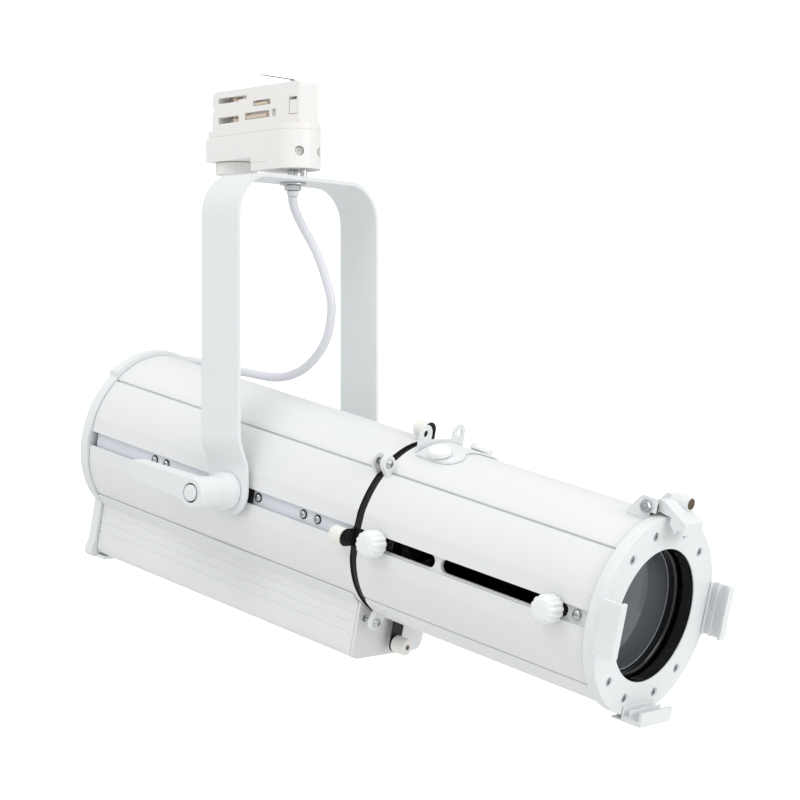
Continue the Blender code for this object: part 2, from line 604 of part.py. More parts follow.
# ---------------------------------------------------------------- front barrel
def make_barrel(head):
    inner = TUBE_RADIUS - TUBE_WALL
    right = [(CHANNEL_FLOOR, CHANNEL_HALF), *shell_top()]
    under = [*arc(0, 0, TUBE_RADIUS, -90 + 1.8, -FACET_EDGE, 20), (FACET_OUT, -CHANNEL_HALF),
             (CHANNEL_FLOOR, -CHANNEL_HALF)]
    outer = mirrored(under + right)
    lining = [*arc(0, 0, inner, -90 + 2.8, -12, 14), (0.0540, -0.0092), (0.0540, 0.0092),
              *arc(0, 0, inner, 12, 90 - 2.8, 14)]
    inside = mirrored(lining)

    def wall(bm):
        rings = [[[bm.verts.new((x, y, z)) for y, z in line] for line in (outer, inside)]
                 for x in (BARREL_START, BARREL_END)]
        for line in (0, 1):
            low, high = rings[0][line], rings[1][line]
            for i in range(len(low)):
                j = (i + 1) % len(low)
                bm.faces.new((low[i], low[j], high[j], high[i]))
        for end in (0, 1):
            edges = [bm.edges.get((line[i], line[(i + 1) % len(line)]))
                     for line in rings[end] for i in range(len(line))]
            bmesh.ops.triangle_fill(bm, edges=edges, use_beauty=True)

    barrel = part("front_barrel", "white_powder", wall, head)

    def ears(bm):
        for angle in EAR_ANGLES:
            ear(bm, angle, BARREL_START, BARREL_START + 0.0034, 0.0600)

    def slots(bm):
        for low, high in (FOCUS_SLOT, ZOOM_SLOT):
            prism(bm, stadium(low, high, SLOT_HALF), -0.070, -0.050, "y")

    def gobo_slot(bm):
        box(bm, (0.1222, 0.1244), (-0.0248, 0.0248), (0.045, 0.070))

    combine(barrel, "UNION", ears)
    combine(barrel, "DIFFERENCE", lambda bm: ear_holes(bm, EAR_ANGLES))
    combine(barrel, "DIFFERENCE", slots)
    combine(barrel, "DIFFERENCE", gobo_slot)
    combine(barrel, "DIFFERENCE", cover_screw_holes)


def make_front_ring(head):
    start, bevel = BARREL_END + GAP, 0.0008
    profile = [(start, APERTURE_RADIUS), (start, RING_RADIUS - bevel), (start + bevel, RING_RADIUS),
               (RING_END - bevel, RING_RADIUS), (RING_END, RING_RADIUS - bevel),
               (RING_END, APERTURE_RADIUS + bevel), (RING_END - bevel, APERTURE_RADIUS)]
    part("front_ring", "white_powder", lambda bm: turned(bm, profile, sides=48), head)


# ---------------------------------------------------------------- moving lenses
def make_carriage(head, name, x, knob_profile, reach):
    """A lens in its carrier; the knob outside the slot clamps it to the barrel.

    The carrier's tube holds the lens reach ahead of the ring that rides in the barrel.
    """
    place = empty(f"{name}_carriage", head, (x, 0, 0))
    seat, lip = reach - 0.0042, LENS_RADIUS + 0.0004
    carrier = [(-0.006, 0.0395), (-0.006, CARRIER_RADIUS), (0.006, CARRIER_RADIUS)]
    if reach:
        carrier += [(0.006, 0.0450), (reach + 0.006, 0.0450)]
    carrier += [(reach + 0.006, lip), (seat, lip), (seat, 0.0395)]
    part(f"{name}_carrier", "black_metal", lambda bm: turned(bm, carrier, sides=32), place)
    sag, rim = 0.0055, reach + 0.0006
    lens = [(seat + GAP, 0.0), (seat + GAP, LENS_RADIUS)]
    steps = 4
    lens += [(rim + sag * (1 - (1 - i / steps) ** 2), LENS_RADIUS * (1 - i / steps))
             for i in range(steps + 1)]
    part(f"{name}_lens", "glass", lambda bm: turned(bm, lens, sides=32), place)

    knob = part(f"{name}_knob", "knob_white",
                lambda bm: loft(bm, knob_profile, "y"), place)
    combine(knob, "UNION", lambda bm: rod(bm, 0.0023, -0.0640, -CARRIER_RADIUS - GAP, "y", sides=16))


def knob_sections():
    return [(-0.0625, lobed(0.0084, 0.0004, 12, 3)), (-0.0640, lobed(0.0092, 0.0009, 12, 3)),
            (-0.0730, lobed(0.0092, 0.0009, 12, 3)), (-0.0760, lobed(0.0062, 0.0003, 12, 3))]


# ---------------------------------------------------------------- gobo holder and its cover
COVER_X, COVER_TILT = 0.141, 20.4
COVER_INNER, COVER_OUTER = 0.06275, 0.0642


def make_gobo_holder(head):
    half, foot, lug, bar = 0.0243, 0.0, 0.018, 0.0660
    ear_out, ear_up = 0.0062, 0.0700
    outline = [(half, foot), (half, bar), (lug + ear_out, bar), *arc(lug, ear_up, ear_out, 0, 180, 10),
               (lug - ear_out, bar)]
    outline += [(-y, z) for y, z in reversed(outline)] + arc(0, foot, half, 180, 360, 20)[1:-1]
    slide = empty("gobo_slide", head)
    holder = part("gobo_holder", "white_powder",
                  lambda bm: prism(bm, outline, 0.1226, 0.1240), slide)

    def openings(bm):
        rod(bm, 0.0190, 0.11, 0.13, sides=24)
        for side in (-1, 1):
            rod(bm, 0.0026, 0.11, 0.13, "x", (side * lug, ear_up), 12)

    combine(holder, "DIFFERENCE", openings)


def turned_about_axis(bm, draw, angle):
    """Draw something along +z, then lean it over about the optical axis."""
    start = len(bm.verts)
    draw()
    bm.verts.ensure_lookup_table()
    bmesh.ops.rotate(bm, verts=bm.verts[start:], cent=(0, 0, 0),
                     matrix=Matrix.Rotation(math.radians(angle), 3, "X"))


def cover_screw_holes(bm):
    for side in (-1, 1):
        turned_about_axis(bm, lambda: rod(bm, 0.0022, 0.050, 0.072, "z", (COVER_X, 0.0), 12),
                          side * COVER_TILT)


def make_gobo_cover(head):
    sector = arc(0, 0, COVER_OUTER, 64, 116, 14) + arc(0, 0, COVER_INNER, 116, 64, 14)
    cover = part("gobo_cover", "white_powder", lambda bm: prism(bm, sector, 0.1262, 0.1570), head)
    combine(cover, "DIFFERENCE", cover_screw_holes)
    profile = [(0.0560, 0.0), (0.0560, 0.0018), (COVER_OUTER + GAP, 0.0018),
               (COVER_OUTER + GAP, 0.0070), (COVER_OUTER + 0.0010, 0.0080), (0.0685, 0.0080),
               (0.0693, 0.0070), (0.0693, 0.0)]
    for side, name in ((1, "near"), (-1, "far")):
        axis = empty(f"cover_screw_{name}_axis", head, (COVER_X, 0, 0),
                     (math.radians(side * COVER_TILT), 0, 0))
        part(f"cover_screw_{name}", "knob_cream", lambda bm: turned(bm, profile, "z", sides=16), axis)


# ---------------------------------------------------------------- accessory holder
def clip_comb(lip, web, skin):
    """Half section of an accessory clip: a web with three walls, (x, distance from the axis)."""
    back, front = RING_END + GAP, 0.3270
    return [(back, lip), (back + 0.0012, lip), (back + 0.0012, web), (0.3174, web),
            (0.3174, lip + 0.001), (0.3186, lip + 0.001), (0.3186, web), (0.3246, web), (0.3246, lip),
            (front, lip), (front, skin), (back, skin)]


def make_clips(head):
    """Channels on the front ring that hold a colour frame on three sides."""
    for side, name in ((-1, "near"), (1, "far")):
        outline = [(x, side * y) for x, y in clip_comb(0.0592, 0.0634, 0.0657)]
        part(f"accessory_clip_{name}", "white_powder",
             lambda bm: prism(bm, outline, -CLIP_HALF, CLIP_HALF, "z"), head)
    skin, leg_top, leg_end = 0.0660, RING_RADIUS + GAP, 0.3045
    comb = clip_comb(0.0565, 0.0625, skin)
    outline = comb + [(leg_end, skin), (leg_end, leg_top), (comb[0][0], leg_top)]
    part("accessory_clip_bottom", "white_powder",
         lambda bm: prism(bm, [(x, -y) for x, y in outline], -CLIP_HALF, CLIP_HALF, "y"), head)


def make_accessory_latch(head):
    foot = arc(0, 0, COVER_OUTER, 77, 103, 8) + arc(0, 0, COVER_INNER, 103, 77, 8)
    bracket = part("latch_bracket", "white_powder", lambda bm: prism(bm, foot, 0.2905, 0.3030), head)
    cheek_in, cheek_out = 0.0124, 0.0140
    cheek = [(0.2905, 0.0624), (0.3030, 0.0624), (0.3030, 0.0654), (0.3080, 0.0654),
             (0.3080, 0.0738), (0.2960, 0.0744), (0.2905, 0.0670)]

    def cheeks(bm):
        for side in (-1, 1):
            low, high = sorted((side * cheek_in, side * cheek_out))
            prism(bm, cheek, low, high, "y")

    pin_centre = (LATCH_PIN_X, LATCH_PIN_Z)
    combine(bracket, "UNION", cheeks)
    combine(bracket, "DIFFERENCE", lambda bm: rod(bm, 0.00225, -0.02, 0.02, "y", pin_centre, 16))
    out = cheek_out + GAP
    pin = part("latch_pin", "steel",
               lambda bm: turned(bm, [(-0.0180, 0.0), (-0.0180, 0.0020), (out, 0.0020), (out, 0.0038),
                                      (out + 0.0020, 0.0032), (out + 0.0020, 0.0)], "y",
                                 pin_centre, 16), head)
    combine(pin, "UNION", lambda bm: rod(bm, 0.0044, -out - 0.0032, -out, "y", pin_centre, 6))

    axis = empty("latch_axis", head, (LATCH_PIN_X, 0, LATCH_PIN_Z))
    half, wall = 0.0107, 0.0015
    arm = [*arc(0, 0, 0.0038, 100, 235, 8), (0.0060, -0.0022), (0.0149, -0.0035), (0.0149, -0.0076),
           (0.0177, -0.0105), (0.0187, -0.0128), (0.0199, -0.0128), (0.0205, -0.0105),
           (0.0242, -0.0100), (0.0242, -0.0124), (0.0257, -0.0124), (0.0257, -0.0052),
           (0.0083, 0.0050), (0.0040, 0.0052)]
    latch = part("accessory_latch", "white_powder", lambda bm: prism(bm, arm, -half, half, "y"), axis)
    hollow = [(0.0070, -0.0200), (0.0242, -0.0200), (0.0242, -0.0062), (0.0079, 0.0034),
              (0.0070, 0.0036)]
    combine(latch, "DIFFERENCE", lambda bm: prism(bm, hollow, wall - half, half - wall, "y"))
    combine(latch, "UNION", lambda bm: turned(
        bm, [(0.0031, 0.0), (0.0031, 0.0040), (0.0039, 0.0048), (0.0165, 0.0048), (0.0165, 0.0)],
        "x", (0.0073, 0.0044), 16))
    combine(latch, "DIFFERENCE", lambda bm: rod(bm, 0.00225, -0.02, 0.02, "y", sides=16))


# ---------------------------------------------------------------- cable
def head_point(x, y, z):
    """A point of the head's frame, in the row frame at rest."""
    return (x * math.cos(HEAD_TILT) + z * math.sin(HEAD_TILT), y,
            z * math.cos(HEAD_TILT) - x * math.sin(HEAD_TILT) - PIVOT_DROP)


CABLE_START = (0.0, 0.0, STEM_END - 0.0046)
CABLE_HANGING = [
    (0.0000, 0.0000, -0.0842), (0.0024, 0.0006, -0.0920), (0.0080, 0.0030, -0.104),
    (0.0152, 0.0070, -0.119),
    (0.0210, 0.0095, -0.135), (0.0258, 0.0120, -0.155), (0.0235, 0.0140, -0.170),
    (0.0165, 0.0160, -0.185), (0.0034, 0.0175, -0.198), (-0.0130, 0.0190, -0.2065),
    (-0.0378, 0.0230, -0.2100), (-0.0760, 0.0290, -0.2060),
]
CABLE_OVER_CAP = [
    (-0.122, 0.0360, 0.0585), (-0.150, 0.0410, 0.0570), (-0.170, 0.0430, 0.0545),
    (-0.190, 0.0415, 0.0480), (-0.2025, 0.0380, 0.0350), (-0.2055, 0.0350, 0.0215),
    (-0.2000, 0.0320, 0.0085), (-0.1905, 0.0305, 0.0008), (-0.1815, 0.0300, -0.0020),
]
CABLE_END = (GLAND_END - GAP, GLAND_Y, GLAND_Z)


def smooth_route(points, spacing):
    """Points a steady distance apart on a Catmull-Rom curve through the given points."""
    ends = [points[0] * 2 - points[1], *points, points[-1] * 2 - points[-2]]
    fine = []
    for a, b, c, d in zip(ends, ends[1:], ends[2:], ends[3:]):
        for i in range(24):
            s = i / 24
            fine.append(0.5 * (2 * b + (c - a) * s + (2 * a - 5 * b + 4 * c - d) * s * s
                               + (3 * b - a - 3 * c + d) * s ** 3))
    fine.append(points[-1])
    run = [0.0]
    for a, b in zip(fine, fine[1:]):
        run.append(run[-1] + (b - a).length)
    count = round(run[-1] / spacing)
    picked, at = [], 0
    for i in range(count + 1):
        want = run[-1] * i / count
        while at < len(run) - 2 and run[at + 1] < want:
            at += 1
        share = (want - run[at]) / (run[at + 1] - run[at])
        picked.append(fine[at].lerp(fine[at + 1], share))
    return picked


def make_cable():
    route = [*CABLE_HANGING, *(head_point(*p) for p in CABLE_OVER_CAP)]
    points = smooth_route([Vector(p) for p in route], 4.2 * CABLE_RADIUS)
    points = [Vector(CABLE_START), *points, Vector(head_point(*CABLE_END))]
    curve = bpy.data.curves.new("power_cable", "CURVE")
    curve.dimensions = "3D"
    curve.bevel_depth = CABLE_RADIUS
    curve.bevel_resolution = 2
    curve.use_fill_caps = True
    spline = curve.splines.new("POLY")
    spline.points.add(len(points) - 1)
    for spot, point in zip(spline.points, points):
        spot.co = (*point, 1.0)
    spline.use_smooth = True
    curve.materials.append(MATERIALS["cable_grey"])
    bpy.context.collection.objects.link(bpy.data.objects.new("power_cable", curve))


# ---------------------------------------------------------------- assembly
def main():
    adapter = empty("adapter_frame", turn=(0, 0, ADAPTER_YAW))
    make_adapter(adapter)
    make_selector(adapter)
    make_latch_tab(adapter)

    yoke = empty("pan_axis")
    make_yoke(yoke)
    make_cable()

    head = empty("tilt_axis", yoke, (0, 0, -PIVOT_DROP), (0, HEAD_TILT, 0))
    make_pivots(head)
    make_clamp_lever(head)
    make_shells(head)
    make_side_rails(head)
    make_driver_box(head)
    make_rear_cap(head)
    make_light_engine(head)
    make_gate(head)
    for name in SHUTTERS:
        make_shutter(head, name)
    make_barrel(head)
    make_front_ring(head)
    make_carriage(head, "focus", FOCUS_X, knob_sections(), 0.0)
    make_carriage(head, "zoom", ZOOM_X, knob_sections(), ZOOM_REACH)
    make_gobo_holder(head)
    make_gobo_cover(head)
    make_clips(head)
    make_accessory_latch(head)


for leftover in list(bpy.data.objects):
    bpy.data.objects.remove(leftover, do_unlink=True)
MATERIALS = {name: material(name, *values) for name, values in FINISHES.items()}
main()
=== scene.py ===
"""Looks for the ellipsoidal spotlight on a track adapter: fine shapes, materials, light, camera."""
import json
import math

import bmesh
import bpy
from mathutils import Matrix, Vector


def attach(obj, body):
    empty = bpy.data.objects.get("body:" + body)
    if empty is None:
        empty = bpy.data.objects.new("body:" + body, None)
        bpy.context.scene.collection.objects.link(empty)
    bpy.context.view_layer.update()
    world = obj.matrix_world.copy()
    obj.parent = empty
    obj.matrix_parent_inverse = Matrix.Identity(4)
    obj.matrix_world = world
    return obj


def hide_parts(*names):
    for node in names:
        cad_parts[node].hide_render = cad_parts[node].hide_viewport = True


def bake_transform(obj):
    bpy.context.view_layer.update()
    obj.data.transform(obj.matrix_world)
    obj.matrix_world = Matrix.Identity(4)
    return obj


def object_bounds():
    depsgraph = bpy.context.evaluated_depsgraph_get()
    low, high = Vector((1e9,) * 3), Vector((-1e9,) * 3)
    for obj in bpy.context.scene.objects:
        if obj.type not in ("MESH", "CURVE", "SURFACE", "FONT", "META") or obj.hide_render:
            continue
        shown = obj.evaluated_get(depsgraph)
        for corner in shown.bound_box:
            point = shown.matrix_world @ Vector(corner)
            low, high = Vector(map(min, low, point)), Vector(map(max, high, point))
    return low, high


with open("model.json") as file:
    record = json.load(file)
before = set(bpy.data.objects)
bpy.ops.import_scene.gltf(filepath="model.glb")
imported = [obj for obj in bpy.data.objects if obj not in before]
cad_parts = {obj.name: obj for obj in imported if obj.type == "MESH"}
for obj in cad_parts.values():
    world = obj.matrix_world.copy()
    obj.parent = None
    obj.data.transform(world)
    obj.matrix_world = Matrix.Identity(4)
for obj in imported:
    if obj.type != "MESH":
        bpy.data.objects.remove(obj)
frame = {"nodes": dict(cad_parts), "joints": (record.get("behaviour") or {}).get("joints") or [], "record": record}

CAD_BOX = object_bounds()
JOINTS = {joint["name"]: joint for joint in frame["joints"]}
GAP = 0.0003


# ---------------------------------------------------------------- frames of the moving bodies
def joint_point(name):
    return Vector(JOINTS[name]["pos_m"])


def joint_axis(name):
    return Vector(JOINTS[name]["axis"]).normalized()


def frame_at(origin, x, z):
    """A matrix whose columns are x, z cross x, z and the origin."""
    return Matrix.Translation(origin) @ Matrix((x, z.cross(x), z)).transposed().to_4x4()


UP = Vector((0, 0, 1))
HEAD = frame_at(joint_point("tilt"), joint_axis("focus_slide"), joint_axis("gobo_slide"))
ADAPTER = frame_at(Vector(), joint_axis("latch_press").cross(UP), UP)


def head_spot(x, y, z):
    return HEAD @ Vector((x, y, z))


# ---------------------------------------------------------------- camera, stage and light
HEADING = 39.3                      # degrees: the way the camera looks, and the backdrop with it
LIGHT_BELOW, LIGHT_ABOVE = 0.53, 1.02
BACKDROP_GLOW = 0.7                 # seen by the camera only
KEY_POWER, FILL_POWER = 19.0, 13.5


def make_camera():
    data = bpy.data.cameras.new("camera")
    data.lens = 93.15
    data.sensor_width = 36.0
    data.shift_y = -0.03
    camera = bpy.data.objects.new("camera", data)
    bpy.context.scene.collection.objects.link(camera)
    camera.location = (0.996, -1.096, -0.209)
    heading = math.radians(HEADING)
    ahead = Vector((-math.sin(heading), math.cos(heading), 0))
    camera.rotation_euler = ahead.to_track_quat("-Z", "Y").to_euler()
    bpy.context.scene.camera = camera


def area_light(name, place, target, size, power):
    data = bpy.data.lights.new(name, "AREA")
    data.shape = "DISK"
    data.size = size
    data.energy = power
    light = bpy.data.objects.new(name, data)
    bpy.context.scene.collection.objects.link(light)
    light.location = place
    light.rotation_euler = (Vector(target) - Vector(place)).to_track_quat("-Z", "Y").to_euler()


def make_stage():
    """A pale floor that sweeps up into a wall, a bright even world and two soft lamps."""
    scene = bpy.context.scene
    scene.view_settings.view_transform = "Standard"
    world = bpy.data.worlds.new("studio")
    world.use_nodes = True
    nodes, links = world.node_tree.nodes, world.node_tree.links
    background = nodes["Background"]
    background.inputs["Color"].default_value = (0.985, 0.99, 1.0, 1.0)
    split = nodes.new("ShaderNodeSeparateXYZ")
    links.new(nodes.new("ShaderNodeTexCoord").outputs["Generated"], split.inputs["Vector"])
    height = nodes.new("ShaderNodeMapRange")
    height.inputs["From Min"].default_value = -1.0
    height.inputs["To Min"].default_value = LIGHT_BELOW
    height.inputs["To Max"].default_value = LIGHT_ABOVE
    links.new(split.outputs["Z"], height.inputs["Value"])
    links.new(height.outputs["Result"], background.inputs["Strength"])
    scene.world = world

    floor_level, reach, bend = CAD_BOX[0][2] - 0.75, 6.0, 1.5
    profile = [(-reach, floor_level)]
    profile += [(reach - bend + bend * math.sin(a), floor_level + bend - bend * math.cos(a))
                for a in (math.radians(4.5 * i) for i in range(21))]
    profile.append((reach, floor_level + 5.0))
    bm = bmesh.new()
    rows = [[bm.verts.new((side, along, up)) for along, up in profile] for side in (-reach, reach)]
    for i in range(len(profile) - 1):
        bm.faces.new((rows[0][i], rows[0][i + 1], rows[1][i + 1], rows[1][i]))
    mesh = bpy.data.meshes.new("backdrop")
    bm.to_mesh(mesh)
    bm.free()
    mesh.shade_smooth()
    backdrop = bpy.data.objects.new("backdrop", mesh)
    scene.collection.objects.link(backdrop)
    backdrop.rotation_euler = (0, 0, math.radians(HEADING))
    paper = bpy.data.materials.new("backdrop_paper")
    paper.use_nodes = True
    shader = paper.node_tree.nodes["Principled BSDF"]
    shader.inputs["Base Color"].default_value = (0.8, 0.8, 0.8, 1.0)
    shader.inputs["Roughness"].default_value = 0.9
    shader.inputs["Emission Color"].default_value = (1, 1, 1, 1)
    paper_nodes, paper_links = paper.node_tree.nodes, paper.node_tree.links
    glow = paper_nodes.new("ShaderNodeMapRange")
    glow.inputs["To Min"].default_value = 0.0
    glow.inputs["To Max"].default_value = BACKDROP_GLOW
    seen = paper_nodes.new("ShaderNodeLightPath").outputs["Is Camera Ray"]
    paper_links.new(seen, glow.inputs["Value"])
    paper_links.new(glow.outputs["Result"], shader.inputs["Emission Strength"])
    mesh.materials.append(paper)

    area_light("key_light", (0.2, -2.2, 2.2), (0.05, 0, -0.25), 1.6, KEY_POWER)
    area_light("fill_light", (2.4, 0.2, 0.4), (0.1, 0, -0.25), 1.4, FILL_POWER)


# ---------------------------------------------------------------- materials
def surface(name, colour, roughness, metallic=0.0, tone=0.02, tone_scale=14.0, grain=900.0,
            bump=0.08, rough_swing=0.06, **sockets):
    """A procedural finish: broad colour variation, fine grain in the bump, uneven roughness."""
    made = bpy.data.materials.new(name)
    made.use_nodes = True
    nodes, links = made.node_tree.nodes, made.node_tree.links
    shader = nodes["Principled BSDF"]
    shader.inputs["Metallic"].default_value = metallic
    for socket, value in sockets.items():
        shader.inputs[socket.replace("_", " ")].default_value = value
    place = nodes.new("ShaderNodeTexCoord").outputs["Object"]

    def noise(scale, detail):
        texture = nodes.new("ShaderNodeTexNoise")
        texture.inputs["Scale"].default_value = scale
        texture.inputs["Detail"].default_value = detail
        links.new(place, texture.inputs["Vector"])
        return texture.outputs["Fac"]

    def spread(value, low, high):
        ranged = nodes.new("ShaderNodeMapRange")
        ranged.inputs["From Min"].default_value = 0.3
        ranged.inputs["From Max"].default_value = 0.7
        ranged.inputs["To Min"].default_value = low
        ranged.inputs["To Max"].default_value = high
        links.new(value, ranged.inputs["Value"])
        return ranged.outputs["Result"]

    cloud = noise(tone_scale, 4.0)
    mix = nodes.new("ShaderNodeMix")
    mix.data_type = "RGBA"
    mix.inputs["A"].default_value = (*(c * (1 - tone) for c in colour), 1)
    mix.inputs["B"].default_value = (*(min(1.0, c * (1 + tone)) for c in colour), 1)
    links.new(spread(cloud, 0.0, 1.0), mix.inputs["Factor"])
    links.new(mix.outputs["Result"], shader.inputs["Base Color"])
    links.new(spread(noise(tone_scale * 6, 3.0), roughness - rough_swing / 2, roughness + rough_swing / 2),
              shader.inputs["Roughness"])
    height = nodes.new("ShaderNodeBump")
    height.inputs["Strength"].default_value = bump
    height.inputs["Distance"].default_value = 0.0002
    links.new(noise(grain, 2.0), height.inputs["Height"])
    links.new(height.outputs["Normal"], shader.inputs["Normal"])
    return made


def brushed(name, colour, roughness, stretch, grain=500.0):
    """A metal with fine lines along one axis."""
    made = surface(name, colour, roughness, 1.0, tone=0.05, grain=grain, bump=0.12, rough_swing=0.14)
    nodes, links = made.node_tree.nodes, made.node_tree.links
    place = next(n for n in nodes if n.type == "TEX_COORD").outputs["Object"]
    mapping = nodes.new("ShaderNodeMapping")
    mapping.inputs["Scale"].default_value = stretch
    links.new(place, mapping.inputs["Vector"])
    for texture in [n for n in nodes if n.type == "TEX_NOISE"]:
        links.new(mapping.outputs["Vector"], texture.inputs["Vector"])
    return made


def make_materials():
    made = {
        "white_powder": surface("powder_coat", (0.79, 0.82, 0.82), 0.42, tone=0.014, grain=1100.0,
                                bump=0.16, Specular_IOR_Level=0.5),
        "adapter_plastic": surface("moulded_plastic", (0.86, 0.85, 0.825), 0.38, tone=0.012,
                                   grain=2200.0, bump=0.08, Subsurface_Weight=0.04,
                                   Subsurface_Scale=0.002),
        "black_metal": surface("black_paint", (0.010, 0.010, 0.011), 0.42, tone=0.2, grain=1500.0,
                               bump=0.12, Specular_IOR_Level=0.25),
        "knob_white": surface("knob_plastic", (0.86, 0.875, 0.87), 0.33, tone=0.01, grain=2600.0,
                              bump=0.05),
        "knob_cream": surface("cream_plastic", (0.86, 0.85, 0.80), 0.4, tone=0.02, grain=2000.0,
                              bump=0.08),
        "steel": brushed("zinc_plate", (0.60, 0.61, 0.62), 0.26, (1.0, 1.0, 3.0), 700.0),
        "copper": brushed("contact_copper", (0.80, 0.68, 0.54), 0.34, (1.0, 4.0, 1.0)),
        "rail_grey": surface("rail_paint", (0.72, 0.76, 0.80), 0.38, 0.1, tone=0.03, grain=900.0,
                             bump=0.12),
        "aluminium": brushed("milled_aluminium", (0.74, 0.75, 0.76), 0.32, (1.0, 1.0, 8.0)),
        "mirror": surface("reflector_coat", (0.90, 0.91, 0.92), 0.08, 1.0, grain=300.0, bump=0.03,
                          rough_swing=0.04),
        "glass": surface("lens_glass", (0.93, 0.97, 0.97), 0.02, tone=0.005, grain=60.0, bump=0.0,
                         rough_swing=0.01, Transmission_Weight=1.0, IOR=1.5),
        "phosphor": surface("phosphor", (0.88, 0.72, 0.18), 0.5, tone=0.03, grain=3000.0, bump=0.1),
        "cable_grey": surface("cable_sheath", (0.76, 0.77, 0.81), 0.36, tone=0.02, grain=1200.0,
                              bump=0.08),
        "driver_plastic": surface("driver_case", (0.08, 0.08, 0.09), 0.5, tone=0.1, grain=1500.0,
                                  bump=0.1),
    }
    extra = {
        "tube_white": surface("tube_coat", (0.80, 0.81, 0.81), 0.4, tone=0.012, grain=1100.0,
                              bump=0.16),
        "coated_glass": surface("coated_glass", (0.092, 0.099, 0.105), 0.035, tone=0.05, grain=60.0,
                                bump=0.0, rough_swing=0.01),
        "screw_dark": brushed("burnished_steel", (0.42, 0.43, 0.45), 0.28, (1.0, 1.0, 1.0), 900.0),
        "spring_steel": brushed("spring_steel", (0.13, 0.13, 0.14), 0.35, (4.0, 1.0, 1.0)),
        # grey glass lighter than the lens, for its rim: partly a painted highlight, partly gloss that reflects the
        # room
        "lens_rim_highlight": surface("lens_rim_highlight", (0.30, 0.33, 0.35), 0.12, tone=0.05, grain=400.0,
                             bump=0.02),
        "dark_brass": brushed("dark_brass", (0.16, 0.12, 0.07), 0.35, (1.0, 1.0, 1.0), 900.0),
        "black_gloss": surface("lens_tube_black", (0.010, 0.010, 0.012), 0.09, tone=0.1, grain=500.0,
                               bump=0.02, rough_swing=0.05),
        "black_matt": surface("inner_black", (0.012, 0.012, 0.013), 0.55, tone=0.1, grain=900.0,
                              bump=0.1),
    }
    return made, extra


FINISHES, EXTRA = make_materials()


# ---------------------------------------------------------------- outlines
def arc(a, b, radius, start, end, steps):
    angles = (math.radians(start + (end - start) * i / steps) for i in range(steps + 1))
    return [(a + radius * math.cos(t), b + radius * math.sin(t)) for t in angles]


def polar(radius, angle):
    return (radius * math.cos(math.radians(angle)), radius * math.sin(math.radians(angle)))


def lobed(radius, depth, lobes, per_lobe):
    """A knurled outline: shallow waves round a circle, broad on the crests."""
    count = lobes * per_lobe
    points = []
    for i in range(count):
        turn = 2 * math.pi * i / count
        dip = depth * (0.5 + 0.5 * math.cos(lobes * turn)) ** 2
        points.append(((radius - dip) * math.cos(turn), (radius - dip) * math.sin(turn)))
    return points


def rounded(a_low, a_high, b_low, b_high, radius, steps=4):
    """A rectangle with rounded corners."""
    return [*arc(a_high - radius, b_high - radius, radius, 0, 90, steps),
            *arc(a_low + radius, b_high - radius, radius, 90, 180, steps),
            *arc(a_low + radius, b_low + radius, radius, 180, 270, steps),
            *arc(a_high - radius, b_low + radius, radius, 270, 360, steps)]


# ---------------------------------------------------------------- solids
def axis_point(axis, along, a, b):
    return {"x": (along, a, b), "y": (a, along, b), "z": (a, b, along)}[axis]


def loft(bm, sections, axis="x"):
    rings = [[bm.verts.new(axis_point(axis, along, a, b)) for a, b in outline]
             for along, outline in sections]
    for low, high in zip(rings, rings[1:]):
        for i in range(len(low)):
            j = (i + 1) % len(low)
            bm.faces.new((low[i], low[j], high[j], high[i]))
    bm.faces.new(list(reversed(rings[0])))
    bm.faces.new(rings[-1])


def prism(bm, outline, low, high, axis="x"):
    loft(bm, [(low, outline), (high, outline)], axis)


def block(bm, x, y, z):
    prism(bm, [(y[0], z[0]), (y[1], z[0]), (y[1], z[1]), (y[0], z[1])], x[0], x[1])


def turned(bm, profile, axis="x", centre=(0.0, 0.0), sides=48):
    """Turn a closed profile of (along, radius) points about an axis through centre."""
    rings = []
    for along, radius in profile:
        if radius == 0.0:
            rings.append([bm.verts.new(axis_point(axis, along, *centre))])
            continue
        turns = (2 * math.pi * i / sides for i in range(sides))
        rings.append([bm.verts.new(axis_point(axis, along, centre[0] + radius * math.cos(t),
                                              centre[1] + radius * math.sin(t))) for t in turns])
    for this, following in zip(rings, rings[1:] + rings[:1]):
        for i in range(sides):
            j = (i + 1) % sides
            corners = [this[i % len(this)], this[j % len(this)],
                       following[j % len(following)], following[i % len(following)]]
            distinct = list(dict.fromkeys(corners))
            if len(distinct) > 2:
                bm.faces.new(distinct)


def turned_about_axis(bm, degrees, draw):
    """Draw a shape into bm and turn it about the optical axis."""
    start = len(bm.verts)
    draw(bm)
    bm.verts.ensure_lookup_table()
    bmesh.ops.rotate(bm, verts=bm.verts[start:], cent=(0, 0, 0),
                     matrix=Matrix.Rotation(math.radians(degrees), 3, "X"))


def rod(bm, radius, low, high, axis="x", centre=(0.0, 0.0), sides=48):
    turned(bm, [(low, 0.0), (low, radius), (high, radius), (high, 0.0)], axis, centre, sides)


def ring(bm, outer, inner, low, high, axis="x", centre=(0.0, 0.0), sides=48):
    turned(bm, [(low, inner), (low, outer), (high, outer), (high, inner)], axis, centre, sides)


def object_from(bm, name):
    bmesh.ops.recalc_face_normals(bm, faces=bm.faces)
    mesh = bpy.data.meshes.new(name)
    bm.to_mesh(mesh)
    bm.free()
    made = bpy.data.objects.new(name, mesh)
    bpy.context.scene.collection.objects.link(made)
    return made


def drawn(draw, name="shape"):
    bm = bmesh.new()
    draw(bm)
    return object_from(bm, name)


